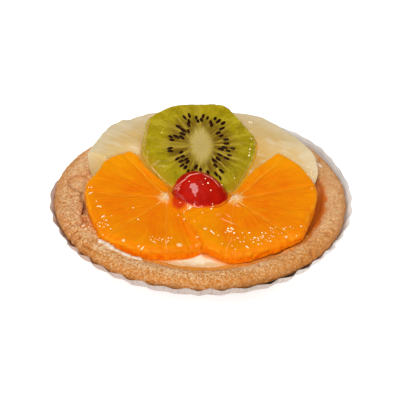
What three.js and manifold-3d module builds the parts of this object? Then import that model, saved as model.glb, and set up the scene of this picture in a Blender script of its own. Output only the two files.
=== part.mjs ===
import * as THREE from "three";
import { mergeVertices } from "three/addons/utils/BufferGeometryUtils.js";
import Module from "manifold-3d";

// Fruit tart: a shortcrust shell in a fluted paper case, filled with cream and covered with
// sliced pineapple, orange and kiwi round half a glace cherry.
// Millimetres, +Z up, +Y to the back, origin on the table under the middle of the paper case.
// Angles are in degrees in the named sizes and in radians in the functions.

const GAP = 0.35; // air left between pieces that touch
const DENT_GAP = 0.8; // air round the dents that the fruit presses
const FAR_UP = 30; // how far a piece is carried upwards to press its dent

// Paper case
const CASE_BASE_RADIUS = 35.4;
const CASE_SHOULDER = { radius: 54.6, height: 16 };
const CASE_RIM = { radius: 56.3, height: 19.4 };
const CASE_PAPER = 0.4;
const FLUTES = 44;
const COLUMNS_PER_FLUTE = 4;
const FLUTE_DEPTH = { base: 0.2, shoulder: 0.5, rim: 0.85 };
const CASE_DIP = { depth: 2.9, azimuth: 145, halfWidth: 34 }; // rim pressed down at the back left
const CASE_BULGE = { size: 0.8, azimuth: -57 }; // the paper stands off the crust

// Crust
const CRUST_RADIUS = 54.2;
const CRUST_LIP_HEIGHT = 21.2;
const CRUST_FLOOR = 6;
const CRUST_COLUMNS = 96;
const OVAL = { crust: 0.8, paper: 0.6, azimuth: -38 }; // both are wider on this diagonal
const CRUST_OFFSET_X = -0.1; // the tart sits a little left in its case
const LIP_WIDER_LEFT = 1.9;
const THUMB_MARK = { azimuth: 173, radius: 47.2, length: 6.2, width: 2.6, depth: 1.5, turn: -40 };

// Cream
const CREAM_EDGE_HEIGHT = 18.2;
const CREAM_CROWN = 2.6;
const CREAM_COLUMNS = 48;

// Fruit. A cut is the direction and the distance from the middle of a flat that the knife left,
// and a corner the direction and height of a bump where a segment ends. The oranges' middles
// are their piths.
const ORANGE_RADIUS = 29.4;
const LEFT_PITH = new THREE.Vector2(-12.6, -8.6);
const LEFT_CUTS = [[36, 4.1], [58, 14]];
const LEFT_CORNERS = [[171, 1.4], [224, 2], [255, 2.3], [303, 1]];
const RIGHT_PITH = new THREE.Vector2(12.5, -9.2);
const RIGHT_CUTS = [[148, 1.8], [131, 6.7]];
const RIGHT_CORNERS = [[3, 0.9], [-44, 2.4], [-90, 2.6]];
const RIGHT_MISSING = { from: 140, to: 212, pith: 2.4 }; // directions where only the pith is left
const RIGHT_LAST_CUT = [[-155, 22.2]]; // end of the last segment, past the missing ones
const ORANGE_PITH_HEIGHT = 24.5;
const ORANGE_THICKNESS = 4.5;
const KIWI_CENTRE = new THREE.Vector3(-0.3, 15.7, 30);
const KIWI_CUTS = [[99, 21.3], [45, 21.8], [0, 21.7], [-26, 19.6], [-75, 20.5], [-125, 21.6],
  [-147, 22.1], [180, 22.2], [130, 21.9]];
const KIWI_THICKNESS = 5;
const KIWI_RISE_BACK = 22.3;
const KIWI_FALL_RIGHT = 8.2;
const PINEAPPLE_BOTTOM = 17.6;
const PINEAPPLE_INNER_RADIUS = 20;
const PINEAPPLE_LEFT = { from: 92.5, to: 160, slant: 6, top: 29.6,
  radii: [[92.5, 47], [108, 47.9], [127, 48.4], [135, 50.4], [147, 47.9], [160, 46.2]] };
const PINEAPPLE_RIGHT = { from: 88, to: 10, slant: -8, top: 29.2,
  radii: [[10, 44.8], [21, 46.3], [45, 46], [58, 47.6], [72, 45.8], [88, 46.2]] };
const PINEAPPLE_FALL = { slope: 0.06, level: 28 }; // their tops fall to the front of this line
const CHERRY_CENTRE = new THREE.Vector3(-0.2, -7.9, 22.6);
const CHERRY = { halfWidth: 11, halfDepth: 9.9, height: 11.8, lean: 1.4 };

const rad = THREE.MathUtils.degToRad;
const step = THREE.MathUtils.smoothstep;
const mix = THREE.MathUtils.lerp;
const wrap = (angle) => Math.atan2(Math.sin(angle), Math.cos(angle));

const wasm = await Module();
wasm.setup();

// ---- Helpers ---------------------------------------------------------------------------------

// A closed surface from rings of points. The first ring is the upper one, and the faces run
// outwards and down to the last; rings go anticlockwise, and one of a single point is a pole.
function surface(rings) {
  const positions = rings.flat().flatMap((p) => p.toArray());
  const triangles = [];
  let a = 0;
  for (let i = 1; i < rings.length; i += 1) {
    const b = a + rings[i - 1].length;
    joinRings(triangles, a, rings[i - 1].length, b, rings[i].length);
    a = b;
  }
  const geometry = new THREE.BufferGeometry();
  geometry.setAttribute("position", new THREE.Float32BufferAttribute(positions, 3));
  geometry.setIndex(triangles);
  return geometry;
}

function joinRings(triangles, a, countA, b, countB) {
  const count = Math.max(countA, countB);
  for (let k = 0; k < count; k += 1) {
    const next = (k + 1) % count;
    if (countB > 1) triangles.push(a + (countA > 1 ? k : 0), b + k, b + next);
    if (countA > 1) triangles.push(a + k, b + (countB > 1 ? next : 0), a + next);
  }
}

function solid(geometry) {
  const merged = mergeVertices(geometry, 1e-4);
  return new wasm.Manifold(new wasm.Mesh({
    numProp: 3,
    vertProperties: new Float32Array(merged.attributes.position.array),
    triVerts: new Uint32Array(merged.index.array),
  }));
}

const cutBy = (base, tools) => tools.reduce((rest, tool) => rest.subtract(tool), base);

// Back to a geometry, without the scraps that a cut leaves loose.
function geometryOf(manifold) {
  const whole = manifold.decompose().reduce((a, b) => (a.volume() > b.volume() ? a : b));
  const mesh = whole.getMesh();
  const geometry = new THREE.BufferGeometry();
  geometry.setAttribute("position", new THREE.Float32BufferAttribute(mesh.vertProperties, 3));
  geometry.setIndex([...mesh.triVerts]);
  return geometry;
}

function polar(radius, azimuth, z) {
  return new THREE.Vector3(radius * Math.cos(azimuth), radius * Math.sin(azimuth), z);
}

// A ring of points at even azimuths: at(azimuth) gives each.
function ringOf(columns, at) {
  return Array.from({ length: columns }, (_, k) => at((2 * Math.PI * k) / columns));
}

// Straight-line value at key in a list of [key, value] pairs sorted by key.
function along(pairs, key) {
  let i = 1;
  while (i < pairs.length - 1 && pairs[i][0] < key) i += 1;
  const [k0, v0] = pairs[i - 1];
  const [k1, v1] = pairs[i];
  return mix(v0, v1, THREE.MathUtils.clamp((key - k0) / (k1 - k0), 0, 1));
}

const oval = (azimuth) => Math.cos(2 * (azimuth - rad(OVAL.azimuth)));

// ---- Paper case: thin pleated paper, a flat base and a flared fluted wall --------------------

function caseRimHeight(azimuth) {
  const away = Math.abs(wrap(azimuth - rad(CASE_DIP.azimuth))) / rad(CASE_DIP.halfWidth);
  return CASE_RIM.height - CASE_DIP.depth * (1 - step(away, 0.35, 1));
}

// Radius of the middle of the paper: a straight flare, steeper above the shoulder. flute runs
// from -1 in a furrow to 1 on a crest.
function caseRadius(azimuth, height, flute) {
  const heights = [0, CASE_SHOULDER.height, CASE_RIM.height];
  const radii = [CASE_BASE_RADIUS, CASE_SHOULDER.radius, CASE_RIM.radius];
  const depths = [FLUTE_DEPTH.base, FLUTE_DEPTH.shoulder, FLUTE_DEPTH.rim];
  const mean = along(heights.map((h, i) => [h, radii[i]]), height);
  const depth = along(heights.map((h, i) => [h, depths[i]]), height);
  const bulge = CASE_BULGE.size * Math.max(0, Math.cos(2 * (azimuth - rad(CASE_BULGE.azimuth)))) ** 4;
  return mean + depth * flute + (height / CASE_RIM.height) * (OVAL.paper * oval(azimuth) + bulge);
}

// A ring of the wall at a share of its height, on the outside (side 1) or the inside (-1).
function caseRing(share, side) {
  return ringOf(FLUTES * COLUMNS_PER_FLUTE, (phase) => {
    const azimuth = phase + 0.02 * Math.sin(4 * phase) + 0.012 * Math.sin(6 * phase);
    const height = Math.max(share * caseRimHeight(azimuth), side < 0 ? CASE_PAPER : 0);
    const flute = Math.cos(FLUTES * phase + Math.PI / 4) * (1 + 0.15 * Math.cos(8 * phase));
    return polar(caseRadius(azimuth, height, flute) + (side * CASE_PAPER) / 2, azimuth, height);
  });
}

function paperCase() {
  const shoulder = CASE_SHOULDER.height / CASE_RIM.height;
  const inside = [0, shoulder / 2, shoulder, 1].map((share) => caseRing(share, -1));
  const outside = [1, shoulder, shoulder / 2, 0].map((share) => caseRing(share, 1));
  return surface([[polar(0, 0, CASE_PAPER)], ...inside, ...outside, [polar(0, 0, 0)]]);
}

// ---- Crust: a shortcrust shell with a broad rounded lip --------------------------------------

// Section of the shell from its floor, up the inside and over the lip, to its underside:
// radius, height, and the share of the lip's unevenness that the point takes.
function crustSection(azimuth) {
  const front = 0.5 - 0.5 * Math.sin(azimuth); // the inside slopes gently at the front
  const lip = 46.1 - LIP_WIDER_LEFT * Math.max(0, -Math.cos(azimuth)) ** 2;
  const slope = { radius: mix(42.6, 40.6, front), height: mix(16.8, 17.8, front) };
  slope.radius -= 46.1 - lip;
  return [
    [29, CRUST_FLOOR, 0], [33, 7, 0], [37.5, 12.5, 0.2], [slope.radius, slope.height, 0.5],
    [(lip + slope.radius) / 2, (20.2 + slope.height) / 2, 0.8], [lip, 20.3, 1],
    [lip + 1.3, 21, 1], [49, 21.3, 1], [50.9, CRUST_LIP_HEIGHT, 1], [52.7, 20.7, 1],
    [53.8, 19.7, 1], [CRUST_RADIUS, 18.2, 1], [53.2, 16.6, 0.7], [51.3, 14.8, 0.3], [43.7, 8.2, 0],
    [36.1, 1.6, 0], [34.7, 0.8, 0],
  ];
}

// Slow waves of the hand-pressed lip.
function lipWave(azimuth) {
  return 0.28 * Math.sin(3 * azimuth + 0.8) + 0.2 * Math.sin(7 * azimuth + 2.1)
    + 0.12 * Math.sin(13 * azimuth + 0.4);
}

function thumbMark(x, y) {
  const mark = polar(THUMB_MARK.radius, rad(THUMB_MARK.azimuth), 0);
  const turn = rad(THUMB_MARK.turn);
  const u = (x - mark.x) * Math.cos(turn) + (y - mark.y) * Math.sin(turn);
  const v = (y - mark.y) * Math.cos(turn) - (x - mark.x) * Math.sin(turn);
  return THUMB_MARK.depth * Math.exp(-((u / THUMB_MARK.length) ** 2) - (v / THUMB_MARK.width) ** 2);
}

// The point of the section with the given number, grow outside the crust's surface.
function crustPoint(azimuth, number, grow) {
  const section = crustSection(azimuth);
  const [radius, height, share] = section[number];
  const before = section[Math.max(number - 1, 0)];
  const after = section[Math.min(number + 1, section.length - 1)];
  const normal = new THREE.Vector2(before[1] - after[1], after[0] - before[0]).normalize();
  const p = polar(radius + share * OVAL.crust * oval(azimuth) + grow * normal.x, azimuth,
    height + share * lipWave(azimuth) + grow * normal.y);
  if (share > 0.5) p.z -= thumbMark(p.x, p.y);
  p.x += CRUST_OFFSET_X;
  return p;
}

function crust(grow = 0) {
  const rings = crustSection(0).map((_, number) => (
    ringOf(CRUST_COLUMNS, (azimuth) => crustPoint(azimuth, number, grow))));
  const middle = (ring) => [new THREE.Vector3(CRUST_OFFSET_X, 0, ring[0].z)];
  return surface([middle(rings[0]), ...rings, middle(rings.at(-1))]);
}

// ---- Slices ----------------------------------------------------------------------------------

// Distance to the outline: the nearest of the knife's flats in each direction, corners rounded.
function cutRadius(cuts, angle) {
  const sharpness = 22;
  const sum = cuts.reduce((total, [direction, distance]) => (
    total + (Math.max(Math.cos(angle - rad(direction)), 0) / distance) ** sharpness), 0);
  return sum ** (-1 / sharpness);
}

// Points evenly spaced along the outline that radius(angle) gives round a centre.
function outline(centre, radius, count) {
  const fine = ringOf(720, (angle) => {
    const p = polar(radius(angle), angle, 0);
    return new THREE.Vector2(p.x, p.y).add(centre);
  });
  const path = new THREE.Path([...fine, fine[0]]);
  return path.getSpacedPoints(count).slice(0, count);
}

function outward(points, k) {
  const before = points.at(k - 1);
  const after = points[(k + 1) % points.length];
  return new THREE.Vector2(after.y - before.y, before.x - after.x).normalize();
}

// Rings of a slice: share of the way in to its middle, or distance in from the outline, and
// depth under the top, or height over the underside, where the edges are rounded.
const SLICE_TOP = [{ share: 0.6, drop: 0 }, { share: 0.25, drop: 0 }, { inset: 0.9, drop: 0.12 },
  { inset: 0, drop: 0.8 }];
const SLICE_UNDER = [{ inset: 0, drop: 0.9 }, { inset: 1.1, drop: 0.15 }, { share: 0.5, drop: 0 }];

// points is the outline in plan, and top(x, y) the height of the upper face. grow swells the
// slice on every side, and up carries its top higher.
function slice({ points, middle, top, thickness }, { grow = 0, up = 0 } = {}) {
  const face = (p, upper, drop) => top(p.x, p.y) + (upper ? up + grow - drop : drop - thickness - grow);
  const ring = ({ share, inset, drop }, upper) => points.map((edge, k) => {
    const inside = middle.clone().sub(edge);
    const p = edge.clone().addScaledVector(inside, share ?? inset / inside.length());
    p.addScaledVector(outward(points, k), grow);
    return new THREE.Vector3(p.x, p.y, face(p, upper, drop));
  });
  const pole = (upper) => [new THREE.Vector3(middle.x, middle.y, face(middle, upper, 0))];
  return surface([pole(true), ...SLICE_TOP.map((r) => ring(r, true)),
    ...SLICE_UNDER.map((r) => ring(r, false)), pole(false)]);
}

// ---- Orange slices: cut a little past the middle, sagging over what they lie on --------------

function orangeSag(y, pith) {
  const back = y - pith.y;
  return ORANGE_PITH_HEIGHT + 0.095 * back + 0.0017 * back * back;
}

function leftOrangeTop(x, y) {
  const pressed = 0.9 * step(x, -10, 2); // under the other slice's last segment
  return orangeSag(y, LEFT_PITH) - 0.035 * (x - LEFT_PITH.x) - pressed;
}

function rightOrangeTop(x, y) {
  const right = x - RIGHT_PITH.x;
  const lifted = 1.7 * step(-right, 3, 13); // over the left slice
  return orangeSag(y, RIGHT_PITH) + 0.105 * Math.max(right, 0) + lifted;
}

// Round, with a corner where some segments end, and cut by the knife's flats.
function orangeRadius(angle, cuts, corners) {
  const round = corners.reduce((sum, [direction, height]) => (
    sum + height * Math.exp(-((wrap(angle - rad(direction)) / rad(13)) ** 2))), ORANGE_RADIUS);
  return Math.min(round, cutRadius(cuts, angle));
}

function leftOrange(count) {
  return {
    points: outline(LEFT_PITH, (angle) => orangeRadius(angle, LEFT_CUTS, LEFT_CORNERS), count),
    middle: LEFT_PITH.clone().add(new THREE.Vector2(-9, -12)),
    top: leftOrangeTop,
    thickness: ORANGE_THICKNESS,
  };
}

function rightOrangeRadius(angle) {
  const { from, to, pith } = RIGHT_MISSING;
  const direction = THREE.MathUtils.euclideanModulo(THREE.MathUtils.radToDeg(angle), 360);
  const last = orangeRadius(angle, RIGHT_LAST_CUT, RIGHT_CORNERS);
  if (direction < from) return orangeRadius(angle, RIGHT_CUTS, RIGHT_CORNERS);
  return mix(pith, last, step(direction, to - 7, to));
}

function rightOrange(count) {
  return {
    points: outline(RIGHT_PITH, rightOrangeRadius, count),
    middle: RIGHT_PITH.clone().add(new THREE.Vector2(4, -13)),
    top: rightOrangeTop,
    thickness: ORANGE_THICKNESS,
  };
}

// ---- Kiwi slice: leans forward on the pineapple ----------------------------------------------

function kiwiTop(x, y) {
  return KIWI_CENTRE.z + Math.tan(rad(KIWI_RISE_BACK)) * (y - KIWI_CENTRE.y)
    - Math.tan(rad(KIWI_FALL_RIGHT)) * (x - KIWI_CENTRE.x);
}

function kiwi(count) {
  const middle = new THREE.Vector2(KIWI_CENTRE.x, KIWI_CENTRE.y);
  const lean = new THREE.Vector2(Math.cos(rad(KIWI_FALL_RIGHT)), Math.cos(rad(KIWI_RISE_BACK)));
  const flat = outline(new THREE.Vector2(), (angle) => cutRadius(KIWI_CUTS, angle), count);
  return {
    points: flat.map((p) => p.multiply(lean).add(middle)),
    middle,
    top: kiwiTop,
    thickness: KIWI_THICKNESS / Math.cos(rad(KIWI_RISE_BACK)),
  };
}

// ---- Pineapple: two pieces of a ring round the back ------------------------------------------

// Section across a piece, anticlockwise seen along its run: radius and height.
function pineappleSection(azimuth, { radii, top }, grow) {
  const out = along(radii, azimuth) + grow;
  const level = top + 0.3 * Math.cos(rad(5 * azimuth)) + grow;
  const back = (r) => r * Math.sin(rad(azimuth)) - PINEAPPLE_FALL.level;
  const fall = (r) => PINEAPPLE_FALL.slope * Math.min(back(r), 0);
  const low = PINEAPPLE_BOTTOM - grow;
  const inner = PINEAPPLE_INNER_RADIUS - grow;
  const upper = [[out, -1.6], [out - 0.9, -0.5], [out - 2.6, 0], [(out + inner) / 2, 0.4],
    [inner + 1.5, 0], [inner, -1.2]];
  return [[inner, low], [out - 5.5, low], [out - 1.9, low + 3.4], [out - 0.3, low + 7.5],
    ...upper.map(([r, z]) => [r, level + fall(r) + z])];
}

function pineapple(piece, grow = 0) {
  const columns = 16;
  const turn = Math.sign(piece.to - piece.from);
  const rings = Array.from({ length: columns }, (_, k) => {
    const share = k / (columns - 1);
    const azimuth = mix(piece.from, piece.to, share);
    return pineappleSection(azimuth, piece, grow).map(([radius, height]) => {
      const down = (piece.top - height) / (piece.top - PINEAPPLE_BOTTOM);
      const swell = (2 * share - 1) * turn * (grow / radius);
      return polar(radius, rad(azimuth + piece.slant * down * share ** 4) + swell, height);
    });
  });
  if (turn < 0) rings.reverse();
  const middle = (ring) => [ring.reduce((sum, p) => sum.add(p), new THREE.Vector3())
    .divideScalar(ring.length)];
  return surface([middle(rings[0]), ...rings, middle(rings.at(-1))]);
}

// ---- Half cherry: a dome lying on its cut face, its right side sloping more ------------------

function cherry() {
  const levels = [0.98, 0.9, 0.76, 0.6, 0.43, 0.25, 0.08];
  const at = (level, angle) => {
    const right = 0.5 + 0.5 * Math.cos(angle);
    const width = mix(Math.sqrt(1 - level * level), (1 - level ** 1.4) ** 0.7, right);
    return new THREE.Vector3(
      CHERRY.halfWidth * width * Math.cos(angle) - CHERRY.lean * level * (1 - right),
      CHERRY.halfDepth * width * Math.sin(angle),
      CHERRY.height * level,
    ).add(CHERRY_CENTRE);
  };
  const rings = levels.map((level) => ringOf(28, (angle) => at(level, angle)));
  const tip = at(1, 0);
  const foot = ringOf(28, (angle) => at(0, angle).lerp(CHERRY_CENTRE, 0.04));
  return surface([[tip], ...rings, foot, [CHERRY_CENTRE.clone()]]);
}

// ---- Cream: fills the shell, domed in the middle ---------------------------------------------

function cream() {
  const wall = [3, 2, 1, 0].map((number) => (
    ringOf(CREAM_COLUMNS, (azimuth) => crustPoint(azimuth, number, GAP))));
  const domed = (share) => wall[0].map((p) => new THREE.Vector3(
    mix(CRUST_OFFSET_X, p.x, share),
    p.y * share,
    CREAM_EDGE_HEIGHT + CREAM_CROWN * (1 - share * share),
  ));
  const rings = [0.3, 0.6, 0.85, 0.96].map(domed);
  const middle = (z) => [new THREE.Vector3(CRUST_OFFSET_X, 0, z)];
  return surface([middle(CREAM_EDGE_HEIGHT + CREAM_CROWN), ...rings, ...wall,
    middle(CRUST_FLOOR + GAP)]);
}

// ---- Assembly: each piece is cut clear of what it lies on or sinks into ----------------------

const swollen = { grow: GAP };
const nesting = { grow: GAP, up: FAR_UP };
const pressing = { grow: DENT_GAP, up: FAR_UP };
const slices = { left: leftOrange(64), right: rightOrange(72), kiwi: kiwi(56) };
const roughSlices = [leftOrange(30), rightOrange(34), kiwi(26)];
const pineapplePieces = [PINEAPPLE_LEFT, PINEAPPLE_RIGHT];

const shell = solid(crust(GAP));
const swollenLeft = solid(slice(slices.left, swollen));
const swollenRight = solid(slice(slices.right, swollen));
const swollenKiwi = solid(slice(slices.kiwi, swollen));
const dents = roughSlices.map((s) => solid(slice(s, pressing)));
const fineDents = [slices.left, slices.right, slices.kiwi].map((s) => solid(slice(s, nesting)));
const pineappleDents = pineapplePieces.map((piece) => solid(pineapple(piece, DENT_GAP)));

const leftSolid = solid(slice(slices.left)).subtract(shell);
const rightSolid = cutBy(solid(slice(slices.right)), [shell, swollenLeft]);
const kiwiSolid = cutBy(solid(slice(slices.kiwi)), [swollenLeft, swollenRight]);
const pineappleSolids = pineapplePieces.map((piece) => (
  cutBy(solid(pineapple(piece)), [shell, ...fineDents])));
const cherrySolid = cutBy(solid(cherry()), [swollenLeft, swollenRight, swollenKiwi]);
const creamSolid = cutBy(solid(cream()), [...dents, ...pineappleDents]);

const tart = new THREE.Group();

function add(name, geometry, color, roughness) {
  const material = new THREE.MeshStandardMaterial({ color, roughness, metalness: 0 });
  const mesh = new THREE.Mesh(geometry, material);
  mesh.name = name;
  tart.add(mesh);
}

add("paper_case", paperCase(), 0xe6e2dc, 0.7);
add("crust", crust(), 0xd5a064, 0.85);
add("cream", geometryOf(creamSolid), 0xf3e3cc, 0.45);
add("pineapple_left", geometryOf(pineappleSolids[0]), 0xdcc684, 0.35);
add("pineapple_right", geometryOf(pineappleSolids[1]), 0xdcc684, 0.35);
add("orange_left", geometryOf(leftSolid), 0xee8400, 0.3);
add("orange_right", geometryOf(rightSolid), 0xee8400, 0.3);
add("kiwi", geometryOf(kiwiSolid), 0x9c9a24, 0.3);
add("cherry", geometryOf(cherrySolid), 0xc81f0a, 0.15);

export default tart;
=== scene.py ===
"""A fruit tart in its paper case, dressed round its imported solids.

Shapes are worked out in millimetres, from the centre of the case's base on the table, with
+Y to the back and +Z up, and the meshes get them in metres. Azimuths run anticlockwise from +X.
"""

import bpy
import numpy as np
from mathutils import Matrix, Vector


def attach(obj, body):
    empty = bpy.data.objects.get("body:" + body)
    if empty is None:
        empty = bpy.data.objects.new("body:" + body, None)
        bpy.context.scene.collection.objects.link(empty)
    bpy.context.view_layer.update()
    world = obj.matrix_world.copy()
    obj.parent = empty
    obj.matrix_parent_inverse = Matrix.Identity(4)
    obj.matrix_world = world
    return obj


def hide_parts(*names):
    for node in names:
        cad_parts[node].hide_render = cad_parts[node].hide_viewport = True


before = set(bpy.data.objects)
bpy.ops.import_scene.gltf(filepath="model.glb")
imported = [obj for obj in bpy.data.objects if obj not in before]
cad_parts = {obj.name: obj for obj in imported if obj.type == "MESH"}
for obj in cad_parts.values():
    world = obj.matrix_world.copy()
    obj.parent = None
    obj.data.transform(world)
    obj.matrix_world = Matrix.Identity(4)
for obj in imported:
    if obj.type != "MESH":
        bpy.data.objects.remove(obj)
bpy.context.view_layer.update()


# --- Paper case -------------------------------------------------------------------------------
# A baking case of thin white greaseproof paper. A die presses a flat disc into a cup with a flat
# base and a flared, fluted wall. The tart stands in it, and nothing fixes the two.

MM = 0.001
FLUTES, FLUTE_COLUMNS = 44, 16
# Base, shoulder and rim: their heights and radii, and the flutes' depths there.
CASE_HEIGHTS, CASE_RADII = (0.0, 16.0, 19.4), (35.4, 54.6, 56.3)
FLUTE_DEPTHS, FLUTE_SHARE_BACK = (0.15, 0.45, 0.72), 0.22
CASE_PAPER, CASE_FOOT_ROUND, CASE_WAVES = 0.28, 0.9, 0.22
CASE_DIP, CASE_DIP_AZIMUTH, CASE_DIP_HALF_WIDTH = 2.9, 145.0, 34.0
CASE_PEAK, CASE_PEAK_AZIMUTH = 1.5, 42.0
CASE_BULGE, CASE_BULGE_AZIMUTH = 1.1, -64.0
CASE_OVAL, CASE_FULLER = 0.6, 0.35
OVAL_AZIMUTH, FULLER_AZIMUTH, FULLER_WIDTH = -38.0, -115.0, 0.4


def smoothstep(x, low, high):
    """0 below low, 1 above high, and 3t^2 - 2t^3 between them."""
    t = np.clip((x - low) / (high - low), 0.0, 1.0)
    return t * t * (3.0 - 2.0 * t)


def bell(x, width):
    """A bell curve, 1 at x = 0: e to the power of minus the square of x over the width."""
    return np.exp(-(x / width) ** 2)


def turns(count):
    """Even azimuths round a full turn, in radians."""
    return np.arange(count) * (2.0 * np.pi / count)


def away_from(azimuth, degrees):
    """Unsigned angle between an azimuth and a direction given in degrees, in radians."""
    gap = azimuth - np.radians(degrees)
    return np.abs(np.arctan2(np.sin(gap), np.cos(gap)))


def facing(azimuth, degrees, power):
    """Cosine of the angle from a direction given in degrees, to a power, and 0 where negative."""
    return np.maximum(0.0, np.cos(azimuth - np.radians(degrees))) ** power


def oval(azimuth):
    """Cosine of twice the angle from the tart's long diagonal."""
    return np.cos(2.0 * (azimuth - np.radians(OVAL_AZIMUTH)))


def spun(azimuth, radius, height):
    """Points at an azimuth, a radius from the axis and a height."""
    x, y = radius * np.cos(azimuth), radius * np.sin(azimuth)
    return np.stack(np.broadcast_arrays(x, y, height), axis=-1)


def lumps(points, size, seed):
    """Smooth random field from -1 to 1: random numbers on a cubic lattice with that spacing,
    blended between the eight corners round each point along the smoothstep curve."""
    side = 48
    lattice = np.random.default_rng(seed).uniform(-1.0, 1.0, (side, side, side))
    place = np.asarray(points) / size
    cell = np.floor(place).astype(int)
    blend = smoothstep(place - cell, 0.0, 1.0)
    total = 0.0
    for corner in np.ndindex(2, 2, 2):
        weight = np.prod(np.where(np.array(corner) == 1, blend, 1.0 - blend), axis=-1)
        i, j, k = np.moveaxis((cell + corner) % side, -1, 0)
        total = total + weight * lattice[i, j, k]
    return total


def closed_rings(rings, top, bottom):
    """Points and faces of rings (rows, columns, 3), closed by a pole before and after them. With
    the first ring uppermost and rings anticlockwise from above, the faces point outwards."""
    rows, columns = rings.shape[:2]
    count = rows * columns
    number = np.arange(count).reshape(rows, columns)
    beside = np.roll(number, -1, axis=1)
    points = np.concatenate([rings.reshape(-1, 3), np.reshape([top, bottom], (2, 3))])
    sides = np.stack([number[:-1], number[1:], beside[1:], beside[:-1]], axis=-1)
    upper = np.stack([np.full(columns, count), number[0], beside[0]], axis=-1)
    lower = np.stack([number[-1], np.full(columns, count + 1), beside[-1]], axis=-1)
    return points, [sides.reshape(-1, 4), upper, lower]


def put(name, data):
    """A new object in the scene, at the origin."""
    thing = bpy.data.objects.new(name, data)
    bpy.context.scene.collection.objects.link(thing)
    return thing


def make_piece(name, shape, finish, replaces=()):
    """A smooth-shaded mesh from a shape, which is points in millimetres and arrays of faces. It
    rides on the tart."""
    points, faces = shape
    mesh = bpy.data.meshes.new(name)
    corners = np.concatenate([group.ravel() for group in faces])
    sizes = np.concatenate([np.full(len(group), group.shape[1]) for group in faces])
    mesh.vertices.add(len(points))
    mesh.vertices.foreach_set("co", (points * MM).ravel())
    mesh.loops.add(len(corners))
    mesh.loops.foreach_set("vertex_index", corners.astype(np.int32))
    mesh.polygons.add(len(sizes))
    mesh.polygons.foreach_set("loop_start", (np.cumsum(sizes) - sizes).astype(np.int32))
    mesh.polygons.foreach_set("use_smooth", np.ones(len(sizes), dtype=bool))
    mesh.update(calc_edges=True)
    mesh.materials.append(finish)
    piece = put(name, mesh)
    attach(piece, "root")
    if replaces:
        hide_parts(*replaces)
    return piece


def mark(piece, name, values, poles=(0.0, 0.0)):
    """Stores one number for each point of a piece, its poles last, for its material to read."""
    attribute = piece.data.attributes.new(name, "FLOAT", "POINT")
    attribute.data.foreach_set("value", np.append(values, poles).astype(np.float32))


def tone(red, green, blue):
    """A colour from screen values of 0 to 255, as the linear numbers that shaders use."""
    screen = np.array([red, green, blue]) / 255.0
    linear = np.where(screen <= 0.04045, screen / 12.92, ((screen + 0.055) / 1.055) ** 2.4)
    return (*linear.tolist(), 1.0)


class Flow:
    """An output of a shader node, used in Python sums: each operator adds its Math node."""

    def __init__(self, finish, socket):
        self.finish = finish
        self.socket = socket

    def math(self, operation, *others):
        return self.finish.math(operation, self, *others)

    def __add__(self, other):
        return self.math("ADD", other)

    __radd__ = __add__

    def __sub__(self, other):
        return self.math("SUBTRACT", other)

    def __rsub__(self, other):
        return self.finish.math("SUBTRACT", other, self)

    def __mul__(self, other):
        return self.math("MULTIPLY", other)

    __rmul__ = __mul__

    def __truediv__(self, other):
        return self.math("DIVIDE", other)

    def __pow__(self, other):
        return self.math("POWER", other)

    def step(self, low, high):
        """0 at low and 1 at high, along the smoothstep curve. low may be the larger."""
        inputs = {"Value": self, "From Min": low, "From Max": high}
        return self.finish.node("ShaderNodeMapRange", {"interpolation_type": "SMOOTHSTEP"}, inputs)


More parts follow.
